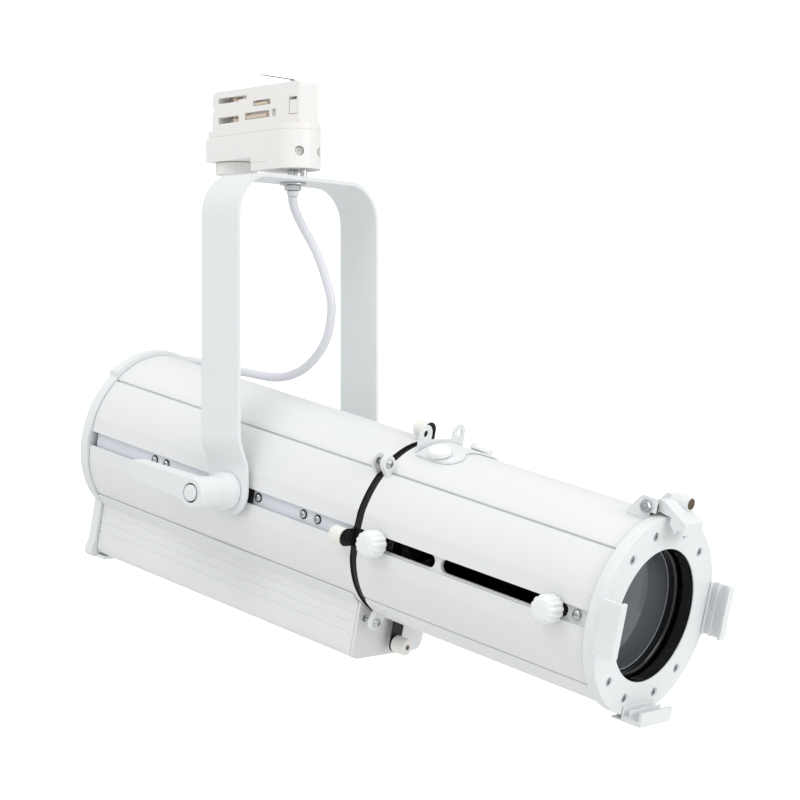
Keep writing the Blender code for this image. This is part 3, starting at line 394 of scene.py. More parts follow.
def carve(piece, operation, draw):
    """Cut or join a shape, drawn in the piece's own frame, into the piece's mesh for good."""
    tool = drawn(draw, "tool")
    modifier = piece.modifiers.new("carve", "BOOLEAN")
    modifier.operation = operation
    modifier.solver = "EXACT"
    modifier.object = tool
    graph = bpy.context.evaluated_depsgraph_get()
    result = bpy.data.meshes.new_from_object(piece.evaluated_get(graph), depsgraph=graph)
    piece.modifiers.clear()
    old = piece.data
    piece.data = result
    bpy.data.meshes.remove(old)
    bpy.data.objects.remove(tool, do_unlink=True)


def soften(piece, width, segments=2, angle=30.0):
    """Merge flat faces, then round the edges where two faces meet at more than an angle."""
    bm = bmesh.new()
    bm.from_mesh(piece.data)
    bmesh.ops.remove_doubles(bm, verts=bm.verts, dist=0.00001)
    bmesh.ops.dissolve_limit(bm, angle_limit=math.radians(0.4), verts=bm.verts, edges=bm.edges)
    if width:
        bm.normal_update()
        edges = [e for e in bm.edges
                 if len(e.link_faces) == 2 and e.calc_face_angle() > math.radians(angle)]
        bmesh.ops.bevel(bm, geom=edges, offset=width, segments=segments, profile=0.5,
                        affect="EDGES", clamp_overlap=True)
    bm.to_mesh(piece.data)
    bm.free()


def dress(piece, finish, body, place=HEAD, stands_for=(), sharp=38.0, paint=None):
    """Shade a piece, give it its finish and its place, and ride it on its body."""
    piece.data.transform(place)
    piece.data.shade_smooth()
    piece.data.set_sharp_from_angle(angle=math.radians(sharp))
    normals = piece.modifiers.new("normals", "WEIGHTED_NORMAL")
    normals.keep_sharp = True
    piece.data.materials.clear()
    piece.data.materials.append(paint or FINISHES[finish])
    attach(piece, body)
    if stands_for:
        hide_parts(*stands_for)
    return piece


def make(name, draw, finish, body, place=HEAD, stands_for=(), soft=0.0, carves=(), sharp=38.0,
         paint=None, segments=2):
    piece = drawn(draw, name)
    for operation, tool in carves:
        carve(piece, operation, tool)
    if soft or carves:
        soften(piece, soft, segments)
    return dress(piece, finish, body, place, stands_for, sharp, paint)


def body_of(node):
    return next(body for body, nodes in frame["record"]["behaviour"]["bodies"].items() if node in nodes)


def slot_of(node):
    return next(s["material_slot"] for s in frame["record"]["subparts"] if s["node"] == node)


def polish(node, soft=0.0003, segments=2, paint=None, name=None):
    """A CAD node's shape again with welded faces, rounded edges and smooth shading."""
    bm = bmesh.new()
    bm.from_mesh(frame["nodes"][node].data)
    bmesh.ops.remove_doubles(bm, verts=bm.verts, dist=0.00001)
    piece = object_from(bm, name or f"{node}_body")
    soften(piece, soft, segments)
    return dress(piece, slot_of(node), body_of(node), Matrix.Identity(4), (node,), paint=paint)


# ---------------------------------------------------------------- places on the lamp
def turned_place(place, x, y, z, axis="X", degrees=0.0):
    return (place @ Matrix.Translation((x, y, z))
            @ Matrix.Rotation(math.radians(degrees), 4, axis))


def side_place(x, side, out, z=0.0):
    """Local z points sideways out of the lamp: side -1 is the near side."""
    return turned_place(HEAD, x, side * out, z, "X", -90.0 * side)


def front_place(x, y, z):
    """Local z points along the beam."""
    return turned_place(HEAD, x, y, z, "Y", 90.0)


def round_screw(name, place, body, radius, height, shank=0.004, cross=True, paint=None,
                finish="steel"):
    """A pan-head screw, local z up, with a cross or one slot in its head."""
    profile = [(-shank, 0.0), (-shank, radius * 0.42), (0.0, radius * 0.42), (0.0, radius),
               (height * 0.45, radius * 0.98), (height * 0.78, radius * 0.82),
               (height * 0.96, radius * 0.5), (height, 0.0)]
    width = radius * 0.13

    def recess(bm):
        block(bm, (-radius * 0.62, radius * 0.62), (-width, width), (height * 0.35, height * 2))

    def crossing(bm):
        block(bm, (-width, width), (-radius * 0.62, radius * 0.62), (height * 0.35, height * 2))

    cuts = [("DIFFERENCE", recess)] + ([("DIFFERENCE", crossing)] if cross else [])
    return make(name, lambda bm: turned(bm, profile, "z", sides=32), finish, body, place,
                carves=cuts, paint=paint or EXTRA["screw_dark"])


# ---------------------------------------------------------------- track adapter
HOUSING = {"half": 0.018, "rear": -0.0755, "nose": 0.003, "top": -0.0299, "rear_under": -0.0525,
           "nose_under": -0.062, "step": -0.025}
SELECTOR_X = -0.062


def housing_plan(inset):
    half, rear = HOUSING["half"] - inset, HOUSING["rear"] + inset
    return [*arc(HOUSING["nose"], 0, half, -90, 90, 40),
            *arc(rear + 0.004, half - 0.004, 0.004, 90, 180, 6),
            *arc(rear + 0.004, 0.004 - half, 0.004, 180, 270, 6)]


def housing_body(bm):
    """The housing with the fine seam of its lid running round it."""
    seam, top = -0.0345, HOUSING["top"]
    loft(bm, [(HOUSING["nose_under"], housing_plan(0.0)), (seam - 0.00035, housing_plan(0.0)),
              (seam - 0.00025, housing_plan(0.0004)), (seam + 0.00025, housing_plan(0.0004)),
              (seam + 0.00035, housing_plan(0.0)), (top, housing_plan(0.0))], "z")


def make_adapter():
    step, nose = HOUSING["step"], HOUSING["nose"]

    def under_rear(bm):
        block(bm, (-0.09, step), (-0.03, 0.03), (-0.072, HOUSING["rear_under"]))

    def bore(bm):
        rod(bm, 0.0033, HOUSING["rear_under"] - 0.002, HOUSING["top"] + 0.002, "z",
            (SELECTOR_X, 0.0), 32)

    def nose_holes(bm):
        for angle in (-33.0, 27.0):
            start = len(bm.verts)
            rod(bm, 0.0034, 0.011, 0.022, "x", sides=32)
            bm.verts.ensure_lookup_table()
            bmesh.ops.transform(bm, verts=bm.verts[start:],
                                matrix=Matrix.Translation((nose, 0, -0.050))
                                @ Matrix.Rotation(math.radians(angle), 4, "Z"))

    def side_panel(bm):
        prism(bm, rounded(-0.0752, -0.0080, -0.0560, -0.0352, 0.0003), -0.0185, -0.0170, "y")

    make("adapter_housing_body", housing_body, "adapter_plastic", "adapter", ADAPTER,
         ("adapter_housing",), 0.0004,
         [("UNION", side_panel), ("DIFFERENCE", under_rear), ("DIFFERENCE", bore),
          ("DIFFERENCE", nose_holes)], segments=3)
    for number, angle in enumerate((-33.0, 27.0), 1):
        place = (turned_place(ADAPTER, nose, 0, -0.050, "Z", angle)
                 @ Matrix.Translation((0.0135, 0, 0)) @ Matrix.Rotation(math.radians(90), 4, "Y"))
        round_screw(f"nose_screw_{number}", place, "adapter", 0.0031, 0.0014, 0.0018,
                    paint=FINISHES["adapter_plastic"])

    for node in ("adapter_insert", "latch_tab"):
        polish(node, 0.0004)
    for node in ("contact_mid_upper", "contact_mid_lower", "contact_spindle", "friction_pin",
                 "mounting_stem", "cable_bush"):
        polish(node, 0.0002)
    polish("earth_strip", 0.0001, paint=EXTRA["spring_steel"])

    bar_bottom = -0.071
    make("washer", lambda bm: ring(bm, 0.0093, 0.0039, bar_bottom - 0.0018, bar_bottom - GAP, "z",
                                   sides=64), "steel", "adapter", ADAPTER, ("stem_washer",), 0.0002)

    def nut_chamfer(bm):
        low, high = bar_bottom - 0.0056, bar_bottom - 0.0021
        turned(bm, [(low, 0.0), (low, 0.0057), (low + 0.0005, 0.0064), (high - 0.0005, 0.0064),
                    (high, 0.0057), (high, 0.0)], "z", sides=48)

    make("flange_nut", lambda bm: rod(bm, 0.0063, bar_bottom - 0.0056, bar_bottom - 0.0021, "z",
                                      sides=6), "steel", "adapter", ADAPTER, ("stem_nut",), 0.0001,
         [("INTERSECT", nut_chamfer),
          ("DIFFERENCE", lambda bm: rod(bm, 0.0039, -0.08, -0.07, "z", sides=32))])
    dial = lobed(0.0153, 0.0006, 40, 4)
    shrunk = [(a * 0.965, b * 0.965) for a, b in dial]
    make("selector_wheel", lambda bm: loft(bm, [(-0.0615, shrunk), (-0.0611, dial),
                                                (-0.0532, dial), (-0.0528, shrunk)], "z"),
         "adapter_plastic", "selector", turned_place(ADAPTER, SELECTOR_X, 0, 0), ("selector_dial",))


# ---------------------------------------------------------------- yoke, pivots and lever
PADDLE_OUT = 0.067


def make_yoke_parts():
    polish("yoke", 0.0004, 3)
    for side in ("near", "far"):
        polish(f"pivot_spacer_{side}", 0.0002)
    out = PADDLE_OUT + GAP
    bolt = [(0.0500, 0.0), (0.0500, 0.0040), (out, 0.0040), (out, 0.0100), (out + 0.0016, 0.0100),
            (out + 0.0018, 0.0098), (out + 0.0018, 0.0073), (out + 0.0058, 0.0068),
            (out + 0.0067, 0.0058), (out + 0.0070, 0.0045), (out + 0.0070, 0.0)]

    def socket(bm):
        rod(bm, 0.0029, out + 0.0035, out + 0.0090, "y", sides=6)

    make("pivot_screw", lambda bm: turned(bm, bolt, "y", sides=64), "steel", "head",
         stands_for=("pivot_bolt",), carves=[("DIFFERENCE", socket)])

    collar = -out
    hub = [(-0.0500, 0.0), (-0.0500, 0.0040), (collar, 0.0040), (collar, 0.0126),
           (collar - 0.0004, 0.0130), (-0.0731, 0.0130), (-0.0735, 0.0127), (-0.0748, 0.0108),
           (-0.1008, 0.0108), (-0.1022, 0.0103), (-0.1030, 0.0092), (-0.1030, 0.0068),
           (-0.1014, 0.0066), (-0.1014, 0.0)]
    arm = [*arc(-0.0620, 0.0, 0.0070, 97, 263, 24), (-0.004, -0.0092), (-0.004, 0.0092)]

    def arm_shape(bm):
        inner = [(a if a > -0.01 else a + 0.0009, b * 0.86) for a, b in arm]
        middle = [(a if a > -0.01 else a + 0.0003, b * 0.96) for a, b in arm]
        loft(bm, [(-0.0987, inner), (-0.0982, middle), (-0.0972, arm), (-0.0878, arm),
                  (-0.0868, middle), (-0.0863, inner)], "y")

    make("lever_body", lambda bm: turned(bm, hub, "y", sides=64), "white_powder", "clamp_lever",
         stands_for=("clamp_lever",), carves=[("UNION", arm_shape)], sharp=42.0)
    # a black ring on the floor of the recess round the button: painted shade in the gap round it
    make("lever_groove_shade", lambda bm: ring(bm, 0.0065, 0.0050, -0.1018, -0.1012, "y", sides=48),
         "black_metal", "clamp_lever")
    cap = [(-0.1012, 0.0), (-0.1012, 0.0056), (-0.1034, 0.0056), (-0.1040, 0.0050), (-0.1042, 0.0042),
           (-0.1042, 0.0)]
    make("lever_button", lambda bm: turned(bm, cap, "y", sides=48), "white_powder", "clamp_lever")


# ---------------------------------------------------------------- rear half of the head
TUBE_RADIUS, TUBE_INNER, PANEL_RADIUS = 0.0617, 0.0587, 0.0624
REAR_START, REAR_END = -0.149, 0.1112
BARREL_START = 0.1171
EARS = (46.4, 133.6, 243.5, 296.5)
EAR_RADIUS = 0.0685


def quarter(stop):
    """From the side channel up: a flat facet, the round wall, a groove and the raised panel."""
    return [(0.0606, 0.0052), *arc(0, 0, TUBE_RADIUS, 15, 43.9, 20), polar(TUBE_RADIUS - 0.0022, 44.0),
            polar(TUBE_RADIUS - 0.0022, 45.5), polar(TUBE_RADIUS, 45.6), polar(0.0622, 47.4),
            *arc(0, 0, PANEL_RADIUS, 48.6, stop, 28)]


def mirrored(points):
    return points + [(-y, z) for y, z in reversed(points)]


def lug(bm, angle, low, high):
    outline = [(0.0600, -0.0056), *arc(EAR_RADIUS, 0, 0.0055, -90, 90, 24), (0.0600, 0.0056)]
    turned_about_axis(bm, angle, lambda bm: prism(bm, outline, low, high))


def lug_bores(bm, angles):
    for angle in angles:
        rod(bm, 0.0023, 0.095, 0.135, "x", polar(EAR_RADIUS, angle), 24)


def blacken(piece, paint, hidden):
    """The faces for which hidden(centre, normal), in the head's frame, is true take a black paint."""
    piece.data.materials.append(paint)
    inward = HEAD.inverted()
    turn = inward.to_3x3()
    for face in piece.data.polygons:
        if hidden(inward @ face.center, turn @ face.normal):
            face.material_index = 1


def blacken_gate_end(shell, limit):
    """The end face at the gate is black inside a radius."""
    blacken(shell, EXTRA["black_matt"], lambda spot, look: (
        look.x > 0.5 and abs(spot.x - REAR_END) < 0.0004 and math.hypot(spot.y, spot.z) < limit))


def make_shells():
    edge = math.degrees(math.asin(0.0052 / TUBE_INNER))
    upper = mirrored(quarter(86)) + arc(0, 0, TUBE_INNER, 180 - edge, edge, 48)
    lower = [(0.0606, -0.0052), *arc(0, 0, TUBE_RADIUS, -15, -165, 72), (-0.0606, -0.0052),
             *arc(0, 0, TUBE_INNER, -180 + edge, -edge, 48)]

    def rear_lugs(bm):
        for angle in EARS[:2]:
            lug(bm, angle, 0.1086, REAR_END)

    shell = make("upper_shell_skin", lambda bm: prism(bm, upper, REAR_START, REAR_END),
                 "white_powder", "head", stands_for=("upper_shell",), soft=0.00025, sharp=7.0,
                 paint=EXTRA["tube_white"],
                 carves=[("UNION", rear_lugs), ("DIFFERENCE", lambda bm: lug_bores(bm, EARS[:2]))])
    blacken_gate_end(shell, 0.0615)
    shell = make("lower_shell_skin", lambda bm: prism(bm, lower, REAR_START, REAR_END),
                 "white_powder", "head", stands_for=("lower_shell",), soft=0.00025, sharp=7.0,
                 paint=EXTRA["tube_white"])
    blacken_gate_end(shell, 0.0628)


def make_rear():
    make_shells()
    for node in ("driver_box", "box_end_plate"):
        polish(node, 0.0003, paint=EXTRA["tube_white"])
    polish("rear_cap", 0.0006, 3)
    for node in ("side_rail_near", "side_rail_far", "heat_sink", "led_board", "led_emitter",
                 "led_driver"):
        polish(node, 0.0003)
    gland = [(-0.1595, 0.0), (-0.1595, 0.0095), (-0.1623, 0.0095), (-0.1626, 0.0090), (-0.1627, 0.0080),
             (-0.1690, 0.0080), (-0.1700, 0.0074), (-0.1705, 0.0062), (-0.1730, 0.0058),
             (-0.1775, 0.0048), (-0.178, 0.0044), (-0.178, 0.0)]
    make("gland_body", lambda bm: turned(bm, gland, "x", (0.030, -0.002), 48), "cable_grey", "head",
         stands_for=("cable_gland",))
    focus, depth, mouth = 0.060, 0.090, 0.046
    spots = [-0.0275 + (focus + 0.0275) * i / 24 for i in range(25)]
    bowl = [(x, mouth * math.sqrt(1 - ((x - focus) / depth) ** 2)) for x in spots]
    wall = bowl + [(x, r + 0.0015) for x, r in reversed(bowl)]
    make("reflector_bowl", lambda bm: turned(bm, wall, sides=96), "mirror", "head",
         stands_for=("reflector",))
    for side, name in ((-1, "near"), (1, "far")):
        for number, x in enumerate((-0.084, -0.072, 0.0205, 0.0632, 0.0762), 1):
            place = side_place(x, side, 0.0570)
            # a thin black disc under each rail screw, drawn for the dark ring round its head
            make(f"rail_dark_disc_{name}_{number}", lambda bm: rod(bm, 0.0033, -0.0004, 0.0003, "z",
                                                                sides=32),
                 "black_metal", "head", place)
            round_screw(f"rail_screw_{name}_{number}",
                        place @ Matrix.Rotation(math.radians(17 * number), 4, "Z"), "head",
                        0.0027, 0.0020, paint=FINISHES["steel"])
        # a black block in the side channel round the pivot: painted shade beside the yoke paddle
        low, high = sorted((side * 0.0573, side * 0.0596))
        make(f"pivot_shade_block_{name}", lambda bm: block(bm, (-0.0165, 0.0165), (low, high),
                                                     (-0.0048, 0.0048)),
             "black_metal", "head", soft=0.0003,
             carves=[("DIFFERENCE", lambda bm: rod(bm, 0.0053, -0.07, 0.07, "y"))])


# ---------------------------------------------------------------- gate and shutters
SHUTTERS = {
    # name: turn about the axis, plane, sideways offset, knob centre, knob side
    "near": (180.0, 0.1124, 0.0015, 0.0690, -1),
    "far": (0.0, 0.1133, 0.0015, 0.0690, -1),
    "top": (90.0, 0.1142, 0.0024, 0.0693, -1),
    "bottom": (270.0, 0.1151, 0.0, 0.0800, 1),
}


def make_gate():
    polish("gate_retainer", 0.0002)
    start, end, plate, outer = 0.1115, 0.1168, 0.1121, 0.0606
    profile = [(start, 0.025), (start, outer), (end, outer), (end, 0.0570), (plate, 0.0570),
               (plate, 0.025)]

    def windows(bm):
        for turn, plane, offset, _, _ in SHUTTERS.values():
            turned_about_axis(bm, turn, lambda bm: block(
                bm, (plane - 0.0003, plane + 0.0009), (0.0400, 0.0700),
                (offset - 0.0065, offset + 0.0065)))

    make("gate_ring_body", lambda bm: turned(bm, profile, sides=128), "black_metal", "head",
         stands_for=("gate_ring",), carves=[("DIFFERENCE", windows)])
    for name, (turn, plane, offset, out, side) in SHUTTERS.items():
        polish(f"shutter_{name}", 0.0002)
        body = f"shutter_{name}"
        place = turned_place(HEAD, 0, 0, 0, "X", turn)
        low, high = (plane - 0.0106, plane - GAP) if side < 0 else (plane + 0.0009, plane + 0.0116)
        r, soft = 0.0059, 0.0010
        profile = [(low, 0.0), (low, r - soft), (low + soft * 0.3, r - soft * 0.3), (low + soft, r),
                   (high - soft, r), (high - soft * 0.3, r - soft * 0.3), (high, r - soft),
                   (high, 0.0)]
        make(f"knob_{name}", lambda bm: turned(bm, profile, "x", (out, offset), 56), "knob_cream",
             body, place, (f"shutter_knob_{name}",))
        tip, inside = (low - 0.0003, low + 0.0010) if side < 0 else (high - 0.0010, high + 0.0003)
        make(f"knob_{name}_screw", lambda bm: rod(bm, 0.0018, tip, inside, "x", (out, offset), 32),
             "steel", body, place, soft=0.0002, paint=EXTRA["dark_brass"])
        back = plane + 0.0006 if side < 0 else plane
        rim = (back, back + 0.0005) if side < 0 else (back - 0.0005, back)
        make(f"tab_{name}_ring", lambda bm: ring(bm, 0.0042, 0.0033, *rim, "x", (out, offset)),
             "black_metal", body, place)
        make(f"tab_{name}_screw", lambda bm: rod(bm, 0.0016, *rim, "x", (out, offset), 24),
             "black_metal", body, place, soft=0.0001)
    for number, angle in enumerate(EARS, 1):
        y, z = polar(EAR_RADIUS, angle)
        back = 0.1085 if number < 3 else 0.1078
        round_screw(f"joint_screw_{number}", front_place(BARREL_START + 0.0035, y, z), "head", 0.0031,
                    0.0021, 0.0100, paint=FINISHES["steel"])
        make(f"joint_nut_{number}", lambda bm: rod(bm, 0.0032, back - 0.0016, back, "x", (y, z), 6),
             "steel", "head", soft=0.0002)


# ---------------------------------------------------------------- front barrel
BARREL_END, RING_END, RING_RADIUS, APERTURE = 0.3030, 0.3120, 0.0648, 0.0430
RING_SCREWS = (45.0, 72.0, 108.0, 135.0, 225.0, 252.0, 288.0, 315.0)
COVER_X, COVER_TILT, COVER_INNER, COVER_OUTER = 0.141, 20.4, 0.06275, 0.0642


def cover_screw_bores(bm):
    for side in (-1, 1):
        turned_about_axis(bm, side * COVER_TILT,
                          lambda bm: rod(bm, 0.0022, 0.050, 0.072, "z", (COVER_X, 0.0), 24))


def faces_the_axis(spot, look):
    radius = math.hypot(spot.y, spot.z)
    return radius < 0.0594 and look.y * spot.y + look.z * spot.z < -0.3 * radius


def make_barrel():
    side = quarter(88.2)
    outer = mirrored([(y, -z) for y, z in reversed(side)] + [(0.0570, -0.0052), (0.0570, 0.0052)]
                     + quarter(86))
    lining = mirrored([*arc(0, 0, TUBE_INNER, -87.2, -12, 28), (0.0540, -0.0092), (0.0540, 0.0092),
                       *arc(0, 0, TUBE_INNER, 12, 87.2, 28)])

    def wall(bm):
        loops = []
        for x in (BARREL_START, BARREL_END):
            loops.append([[bm.verts.new((x, y, z)) for y, z in line] for line in (outer, lining)])
        for line in (0, 1):
            low, high = loops[0][line], loops[1][line]
            for i in range(len(low)):
                j = (i + 1) % len(low)
                bm.faces.new((low[i], low[j], high[j], high[i]))
        for end in loops:
            edges = [bm.edges.get((line[i], line[(i + 1) % len(line)]))
                     for line in end for i in range(len(line))]
            bmesh.ops.triangle_fill(bm, edges=edges, use_beauty=True)

    def front_lugs(bm):
        for angle in EARS:
            lug(bm, angle, BARREL_START, BARREL_START + 0.0034)

    def slots(bm):
        for low, high in ((0.124, 0.179), (0.184, 0.285)):
            half = 0.0047
            prism(bm, [*arc(high - half, 0, half, -90, 90, 20), *arc(low + half, 0, half, 90, 270, 20)],
                  -0.070, -0.050, "y")

    def pattern_slot(bm):
        block(bm, (0.1222, 0.1244), (-0.0248, 0.0248), (0.045, 0.070))

    barrel = make("barrel_body", wall, "white_powder", "head", stands_for=("front_barrel",),
                  soft=0.00025, sharp=7.0, paint=EXTRA["tube_white"],
                  carves=[("UNION", front_lugs), ("DIFFERENCE", lambda bm: lug_bores(bm, EARS)),
                          ("DIFFERENCE", slots), ("DIFFERENCE", pattern_slot),
                          ("DIFFERENCE", cover_screw_bores)])
    blacken(barrel, EXTRA["black_matt"], faces_the_axis)
    start, edge = BARREL_END + GAP, 0.0008
    profile = [(start, APERTURE), (start, RING_RADIUS - edge),
               (start + edge * 0.3, RING_RADIUS - edge * 0.3),
               (start + edge, RING_RADIUS), (RING_END - edge, RING_RADIUS),
               (RING_END - edge * 0.3, RING_RADIUS - edge * 0.3), (RING_END, RING_RADIUS - edge),
               (RING_END, APERTURE + edge), (RING_END - edge * 0.3, APERTURE + edge * 0.3),
               (RING_END - edge, APERTURE)]
    spots = [polar(0.0545, angle) for angle in RING_SCREWS]

    def countersinks(bm):
        for spot in spots:
            turned(bm, [(RING_END - 0.0030, 0.0), (RING_END - 0.0030, 0.0016),
                        (RING_END - 0.0018, 0.0018), (RING_END - 0.0002, 0.0034),
                        (RING_END + 0.0010, 0.0036), (RING_END + 0.0010, 0.0)], "x", spot, 24)

    profile.append((RING_END - 0.0018, APERTURE))
    front = make("front_ring_body", lambda bm: turned(bm, profile, sides=128), "white_powder", "head",
                 stands_for=("front_ring",), carves=[("DIFFERENCE", countersinks)])
    blacken(front, EXTRA["black_gloss"], lambda spot, look: (
        spot.x < RING_END - 0.0015 and math.hypot(spot.y, spot.z) < APERTURE + 0.0003))
    for number, (y, z) in enumerate(spots, 1):
        round_screw(f"ring_screw_{number}", front_place(RING_END - 0.0013, y, z), "head", 0.0027, 0.0010,
                    0.0010, paint=EXTRA["screw_dark"])
    round_screw("channel_screw", side_place(0.292, -1, 0.0571), "head", 0.0034, 0.0022, 0.0030,
                cross=False, paint=FINISHES["steel"])


def make_carriage(name, x, reach):
    """A lens in its carrier, reach ahead of the ring that rides in the barrel, and its knob."""
    place = turned_place(HEAD, x, 0, 0)
    body = f"{name}_carriage"
    seat, front, lip = reach - 0.0042, reach + 0.006, 0.0420
    carrier = [(-0.006, 0.0395), (-0.006, 0.0528), (-0.0056, 0.0532), (0.0056, 0.0532),
               (0.006, 0.0528)]
    if reach:
        carrier += [(0.006, 0.0450), (front - 0.0006, 0.0450), (front, 0.0445)]
    carrier += [(front, lip + 0.0012), (front - 0.0009, lip + 0.0007), (front - 0.0012, lip),
                (seat, lip), (seat, 0.0395)]
    make(f"{name}_lens_holder", lambda bm: turned(bm, carrier, sides=96), "black_metal", body, place,
         (f"{name}_carrier",), paint=EXTRA["black_gloss"])
    sag, rim, lens_radius = 0.0018, reach + 0.0006, 0.0416
    dome = [(rim + sag * (1 - (1 - i / 20) ** 2), (lens_radius - 0.0012) * (1 - i / 20))
            for i in range(21)]
    make(f"{name}_lens_body", lambda bm: turned(bm, [(seat + GAP, 0.0), (seat + GAP, lens_radius),
                                                     (rim - 0.0012, lens_radius), *dome], sides=96),
         "glass", body, place, (f"{name}_lens",), sharp=20.0,
         paint=EXTRA["coated_glass"] if reach else None)
    if reach:
        # a glossy ring at the lens rim: its lighter grey is a painted highlight for the bright arcs on the rim,
        # and its gloss also reflects the room
        make("lens_edge_ring", lambda bm: ring(bm, 0.0414, 0.0405, rim - 0.0008, rim + 0.0003, sides=96),
             "glass", body, place, paint=EXTRA["lens_rim_highlight"])
    knob = f"{name}_knob"
    sections = ((-0.0625, 0.0082, 0.0003), (-0.0631, 0.0089, 0.0006), (-0.0640, 0.0092, 0.0010),
                (-0.0722, 0.0092, 0.0010), (-0.0738, 0.0085, 0.0008), (-0.0750, 0.0072, 0.0004),
                (-0.0757, 0.0052, 0.0001), (-0.0760, 0.0025, 0.0))
    make(f"{knob}_grip", lambda bm: loft(bm, [(y, lobed(r, d, 14, 8)) for y, r, d in sections], "y"),
         "knob_white", knob, place, (knob,), sharp=55.0)
    make(f"{knob}_shank", lambda bm: rod(bm, 0.0023, -0.0630, -0.0535, "y", sides=32), "steel", knob,
         place)


# ---------------------------------------------------------------- gobo holder and cover

def make_gobo():
    polish("gobo_holder", 0.0003)
    sector = arc(0, 0, COVER_OUTER, 63.5, 116.5, 40) + arc(0, 0, COVER_INNER, 116.5, 63.5, 40)
    lobe = arc(0.1474, 0.0186, 0.0096, 90, -45, 16)
    dip = arc(0.1692, 0, 0.0192, 146, 214, 12)
    outline = [(0.1262, -0.0282), (0.1262, 0.0282), *lobe, *dip, *[(x, -y) for x, y in reversed(lobe)]]

    make("gobo_cover_plate", lambda bm: prism(bm, sector, 0.1262, 0.1570), "white_powder", "head",
         stands_for=("gobo_cover",),
         carves=[("INTERSECT", lambda bm: prism(bm, outline, 0.04, 0.08, "z")),
                 ("DIFFERENCE", cover_screw_bores)], soft=0.0003)
    top = 0.0693
    profile = [(0.0560, 0.0), (0.0560, 0.0018), (COVER_OUTER + GAP, 0.0018),
               (COVER_OUTER + GAP, 0.0072), (COVER_OUTER + 0.0008, 0.0079), (COVER_OUTER + 0.0014, 0.0081),
               (top - 0.0016, 0.0081), (top - 0.0008, 0.0078), (top - 0.0002, 0.0070), (top, 0.0058),
               (top, 0.0)]
    for side, name in ((1, "near"), (-1, "far")):
        place = turned_place(HEAD, COVER_X, 0, 0, "X", side * COVER_TILT)
        node = f"cover_screw_{name}"
        make(f"{node}_body", lambda bm: turned(bm, profile, "z", sides=64), "knob_cream", node, place,
             (node,), paint=FINISHES["knob_white"])


# ---------------------------------------------------------------- accessory holder
def make_holder():
    for name in ("near", "far", "bottom"):
        polish(f"accessory_clip_{name}", 0.0006, 3)
    foot = arc(0, 0, 0.0642, 75, 104.6, 24) + arc(0, 0, 0.06275, 104.6, 75, 24)
    cheek = [(0.2870, 0.0604), (0.3030, 0.0604), (0.3030, 0.0654), (0.3070, 0.0654),
             (0.3070, 0.0736), (0.3063, 0.0742), (0.2962, 0.0746), (0.2950, 0.0740), (0.2870, 0.0635)]

    def cheeks(bm):
        prism(bm, cheek, -0.0162, -0.0147, "y")
        prism(bm, cheek, 0.0124, 0.0140, "y")

    make("latch_bracket_body", lambda bm: prism(bm, foot, 0.2885, 0.3030), "white_powder", "head",
         stands_for=("latch_bracket",), soft=0.0003,
         carves=[("UNION", cheeks), ("DIFFERENCE", lambda bm: rod(bm, 0.00225, -0.02, 0.02, "y",
                                                                  (0.3005, 0.0685), 32))])
    polish("accessory_latch", 0.0005, 3)
    pin = turned_place(HEAD, 0.3005, 0, 0.0685)
    shaft = [(-0.0208, 0.0), (-0.0208, 0.0016), (-0.0204, 0.0020), (0.0143, 0.0020), (0.0143, 0.0038),
             (0.0158, 0.0036), (0.0163, 0.0026), (0.0163, 0.0)]
    hexagon = [(-0.0165, 0.0), (-0.0165, 0.0042), (-0.0172, 0.0044), (-0.0194, 0.0036),
               (-0.0198, 0.0030), (-0.0198, 0.0)]
    make("latch_pin_body", lambda bm: turned(bm, shaft, "y", sides=40), "steel", "head", pin,
         ("latch_pin",), carves=[("UNION", lambda bm: turned(bm, hexagon, "y", sides=6))], soft=0.0003,
         paint=EXTRA["screw_dark"])
    make("latch_roller", lambda bm: ring(bm, 0.0052, 0.0024, -0.0146, -0.0111, "y", sides=40),
         "black_metal", "head", pin)
    make("latch_stud", lambda bm: rod(bm, 0.0035, 0.0160, 0.0171, "x", (0.0073, 0.0044), 40),
         "steel", "accessory_latch", pin, soft=0.0003, paint=EXTRA["dark_brass"])


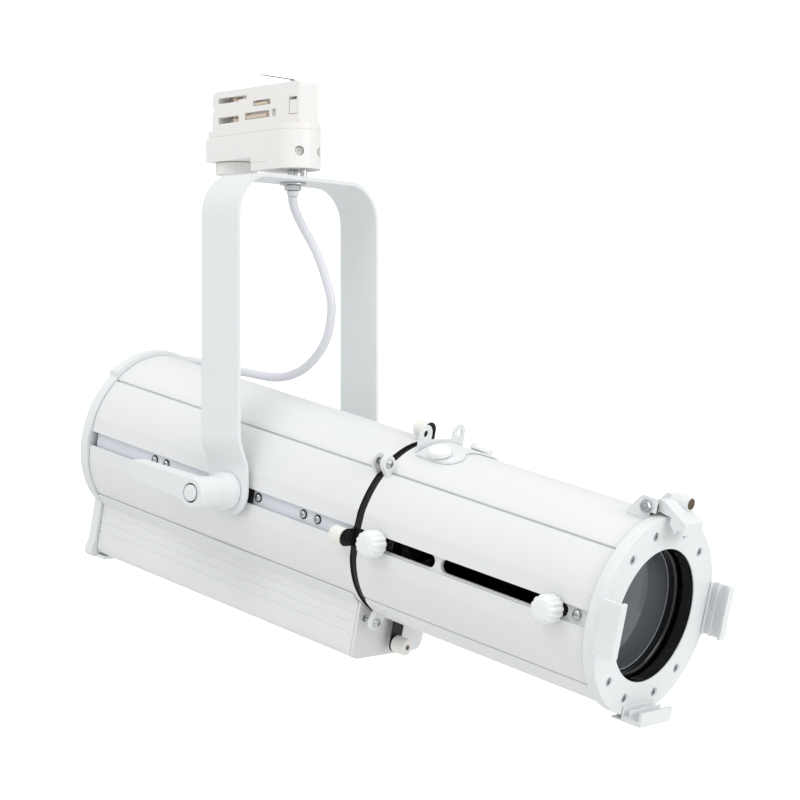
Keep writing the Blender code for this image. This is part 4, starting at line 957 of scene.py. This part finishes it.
# ---------------------------------------------------------------- cable
CABLE_RADIUS = 0.00325
CABLE_START = (0.0, 0.0, -0.0814)
CABLE_HANGING = [
    (0.0000, 0.0000, -0.0842), (0.0024, 0.0006, -0.0920), (0.0080, 0.0030, -0.104),
    (0.0152, 0.0070, -0.119), (0.0210, 0.0095, -0.135), (0.0258, 0.0120, -0.155),
    (0.0235, 0.0140, -0.170), (0.0165, 0.0160, -0.185), (0.0034, 0.0175, -0.198),
    (-0.0130, 0.0190, -0.2065), (-0.0378, 0.0230, -0.2100), (-0.0760, 0.0290, -0.2060),
]
CABLE_OVER_CAP = [
    (-0.122, 0.0360, 0.0585), (-0.150, 0.0410, 0.0570), (-0.170, 0.0430, 0.0545),
    (-0.190, 0.0415, 0.0480), (-0.2025, 0.0380, 0.0350), (-0.2055, 0.0350, 0.0215),
    (-0.2000, 0.0320, 0.0085), (-0.1905, 0.0305, 0.0008), (-0.1815, 0.0300, -0.0020),
]
CABLE_END = (-0.1783, 0.030, -0.002)


def flowing(points, steps):
    """A Catmull-Rom curve through the points."""
    ends = [points[0] * 2 - points[1], *points, points[-1] * 2 - points[-2]]
    fine = []
    for a, b, c, d in zip(ends, ends[1:], ends[2:], ends[3:]):
        for i in range(steps):
            s = i / steps
            fine.append(0.5 * (2 * b + (c - a) * s + (2 * a - 5 * b + 4 * c - d) * s * s
                               + (3 * b - a - 3 * c + d) * s ** 3))
    return fine + [points[-1]]


def tube(bm, points, radius, sides=24):
    """A round tube along a route, turned as little as possible from one section to the next."""
    across = Vector((0.0, 1.0, 0.0))
    rings = []
    for before, point, after in zip([points[0], *points], points, [*points[1:], points[-1]]):
        along = (after - before).normalized()
        across = (across - along * across.dot(along)).normalized()
        up = along.cross(across)
        turns = (2 * math.pi * i / sides for i in range(sides))
        rings.append([bm.verts.new(point + radius * (across * math.cos(t) + up * math.sin(t)))
                      for t in turns])
    for this, following in zip(rings, rings[1:]):
        for i in range(sides):
            j = (i + 1) % sides
            bm.faces.new((this[i], this[j], following[j], following[i]))
    bm.faces.new(list(reversed(rings[0])))
    bm.faces.new(rings[-1])


def make_cable():
    route = [Vector(CABLE_START), *(Vector(p) for p in CABLE_HANGING),
             *(head_spot(*p) for p in CABLE_OVER_CAP), head_spot(*CABLE_END)]
    points = flowing(route, 8)
    cable = drawn(lambda bm: tube(bm, points, CABLE_RADIUS), "supply_cable")
    cable.data.shade_smooth()
    cable.data.set_sharp_from_angle(angle=math.radians(60))
    cable.data.materials.append(FINISHES["cable_grey"])
    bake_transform(cable)
    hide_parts("power_cable")


# ---------------------------------------------------------------- everything
make_camera()
make_cable()
make_stage()
make_adapter()
make_yoke_parts()
make_rear()
make_gate()
make_barrel()
make_carriage("focus", 0.134, 0.0)
make_carriage("zoom", 0.277, 0.016)
make_gobo()
make_holder()
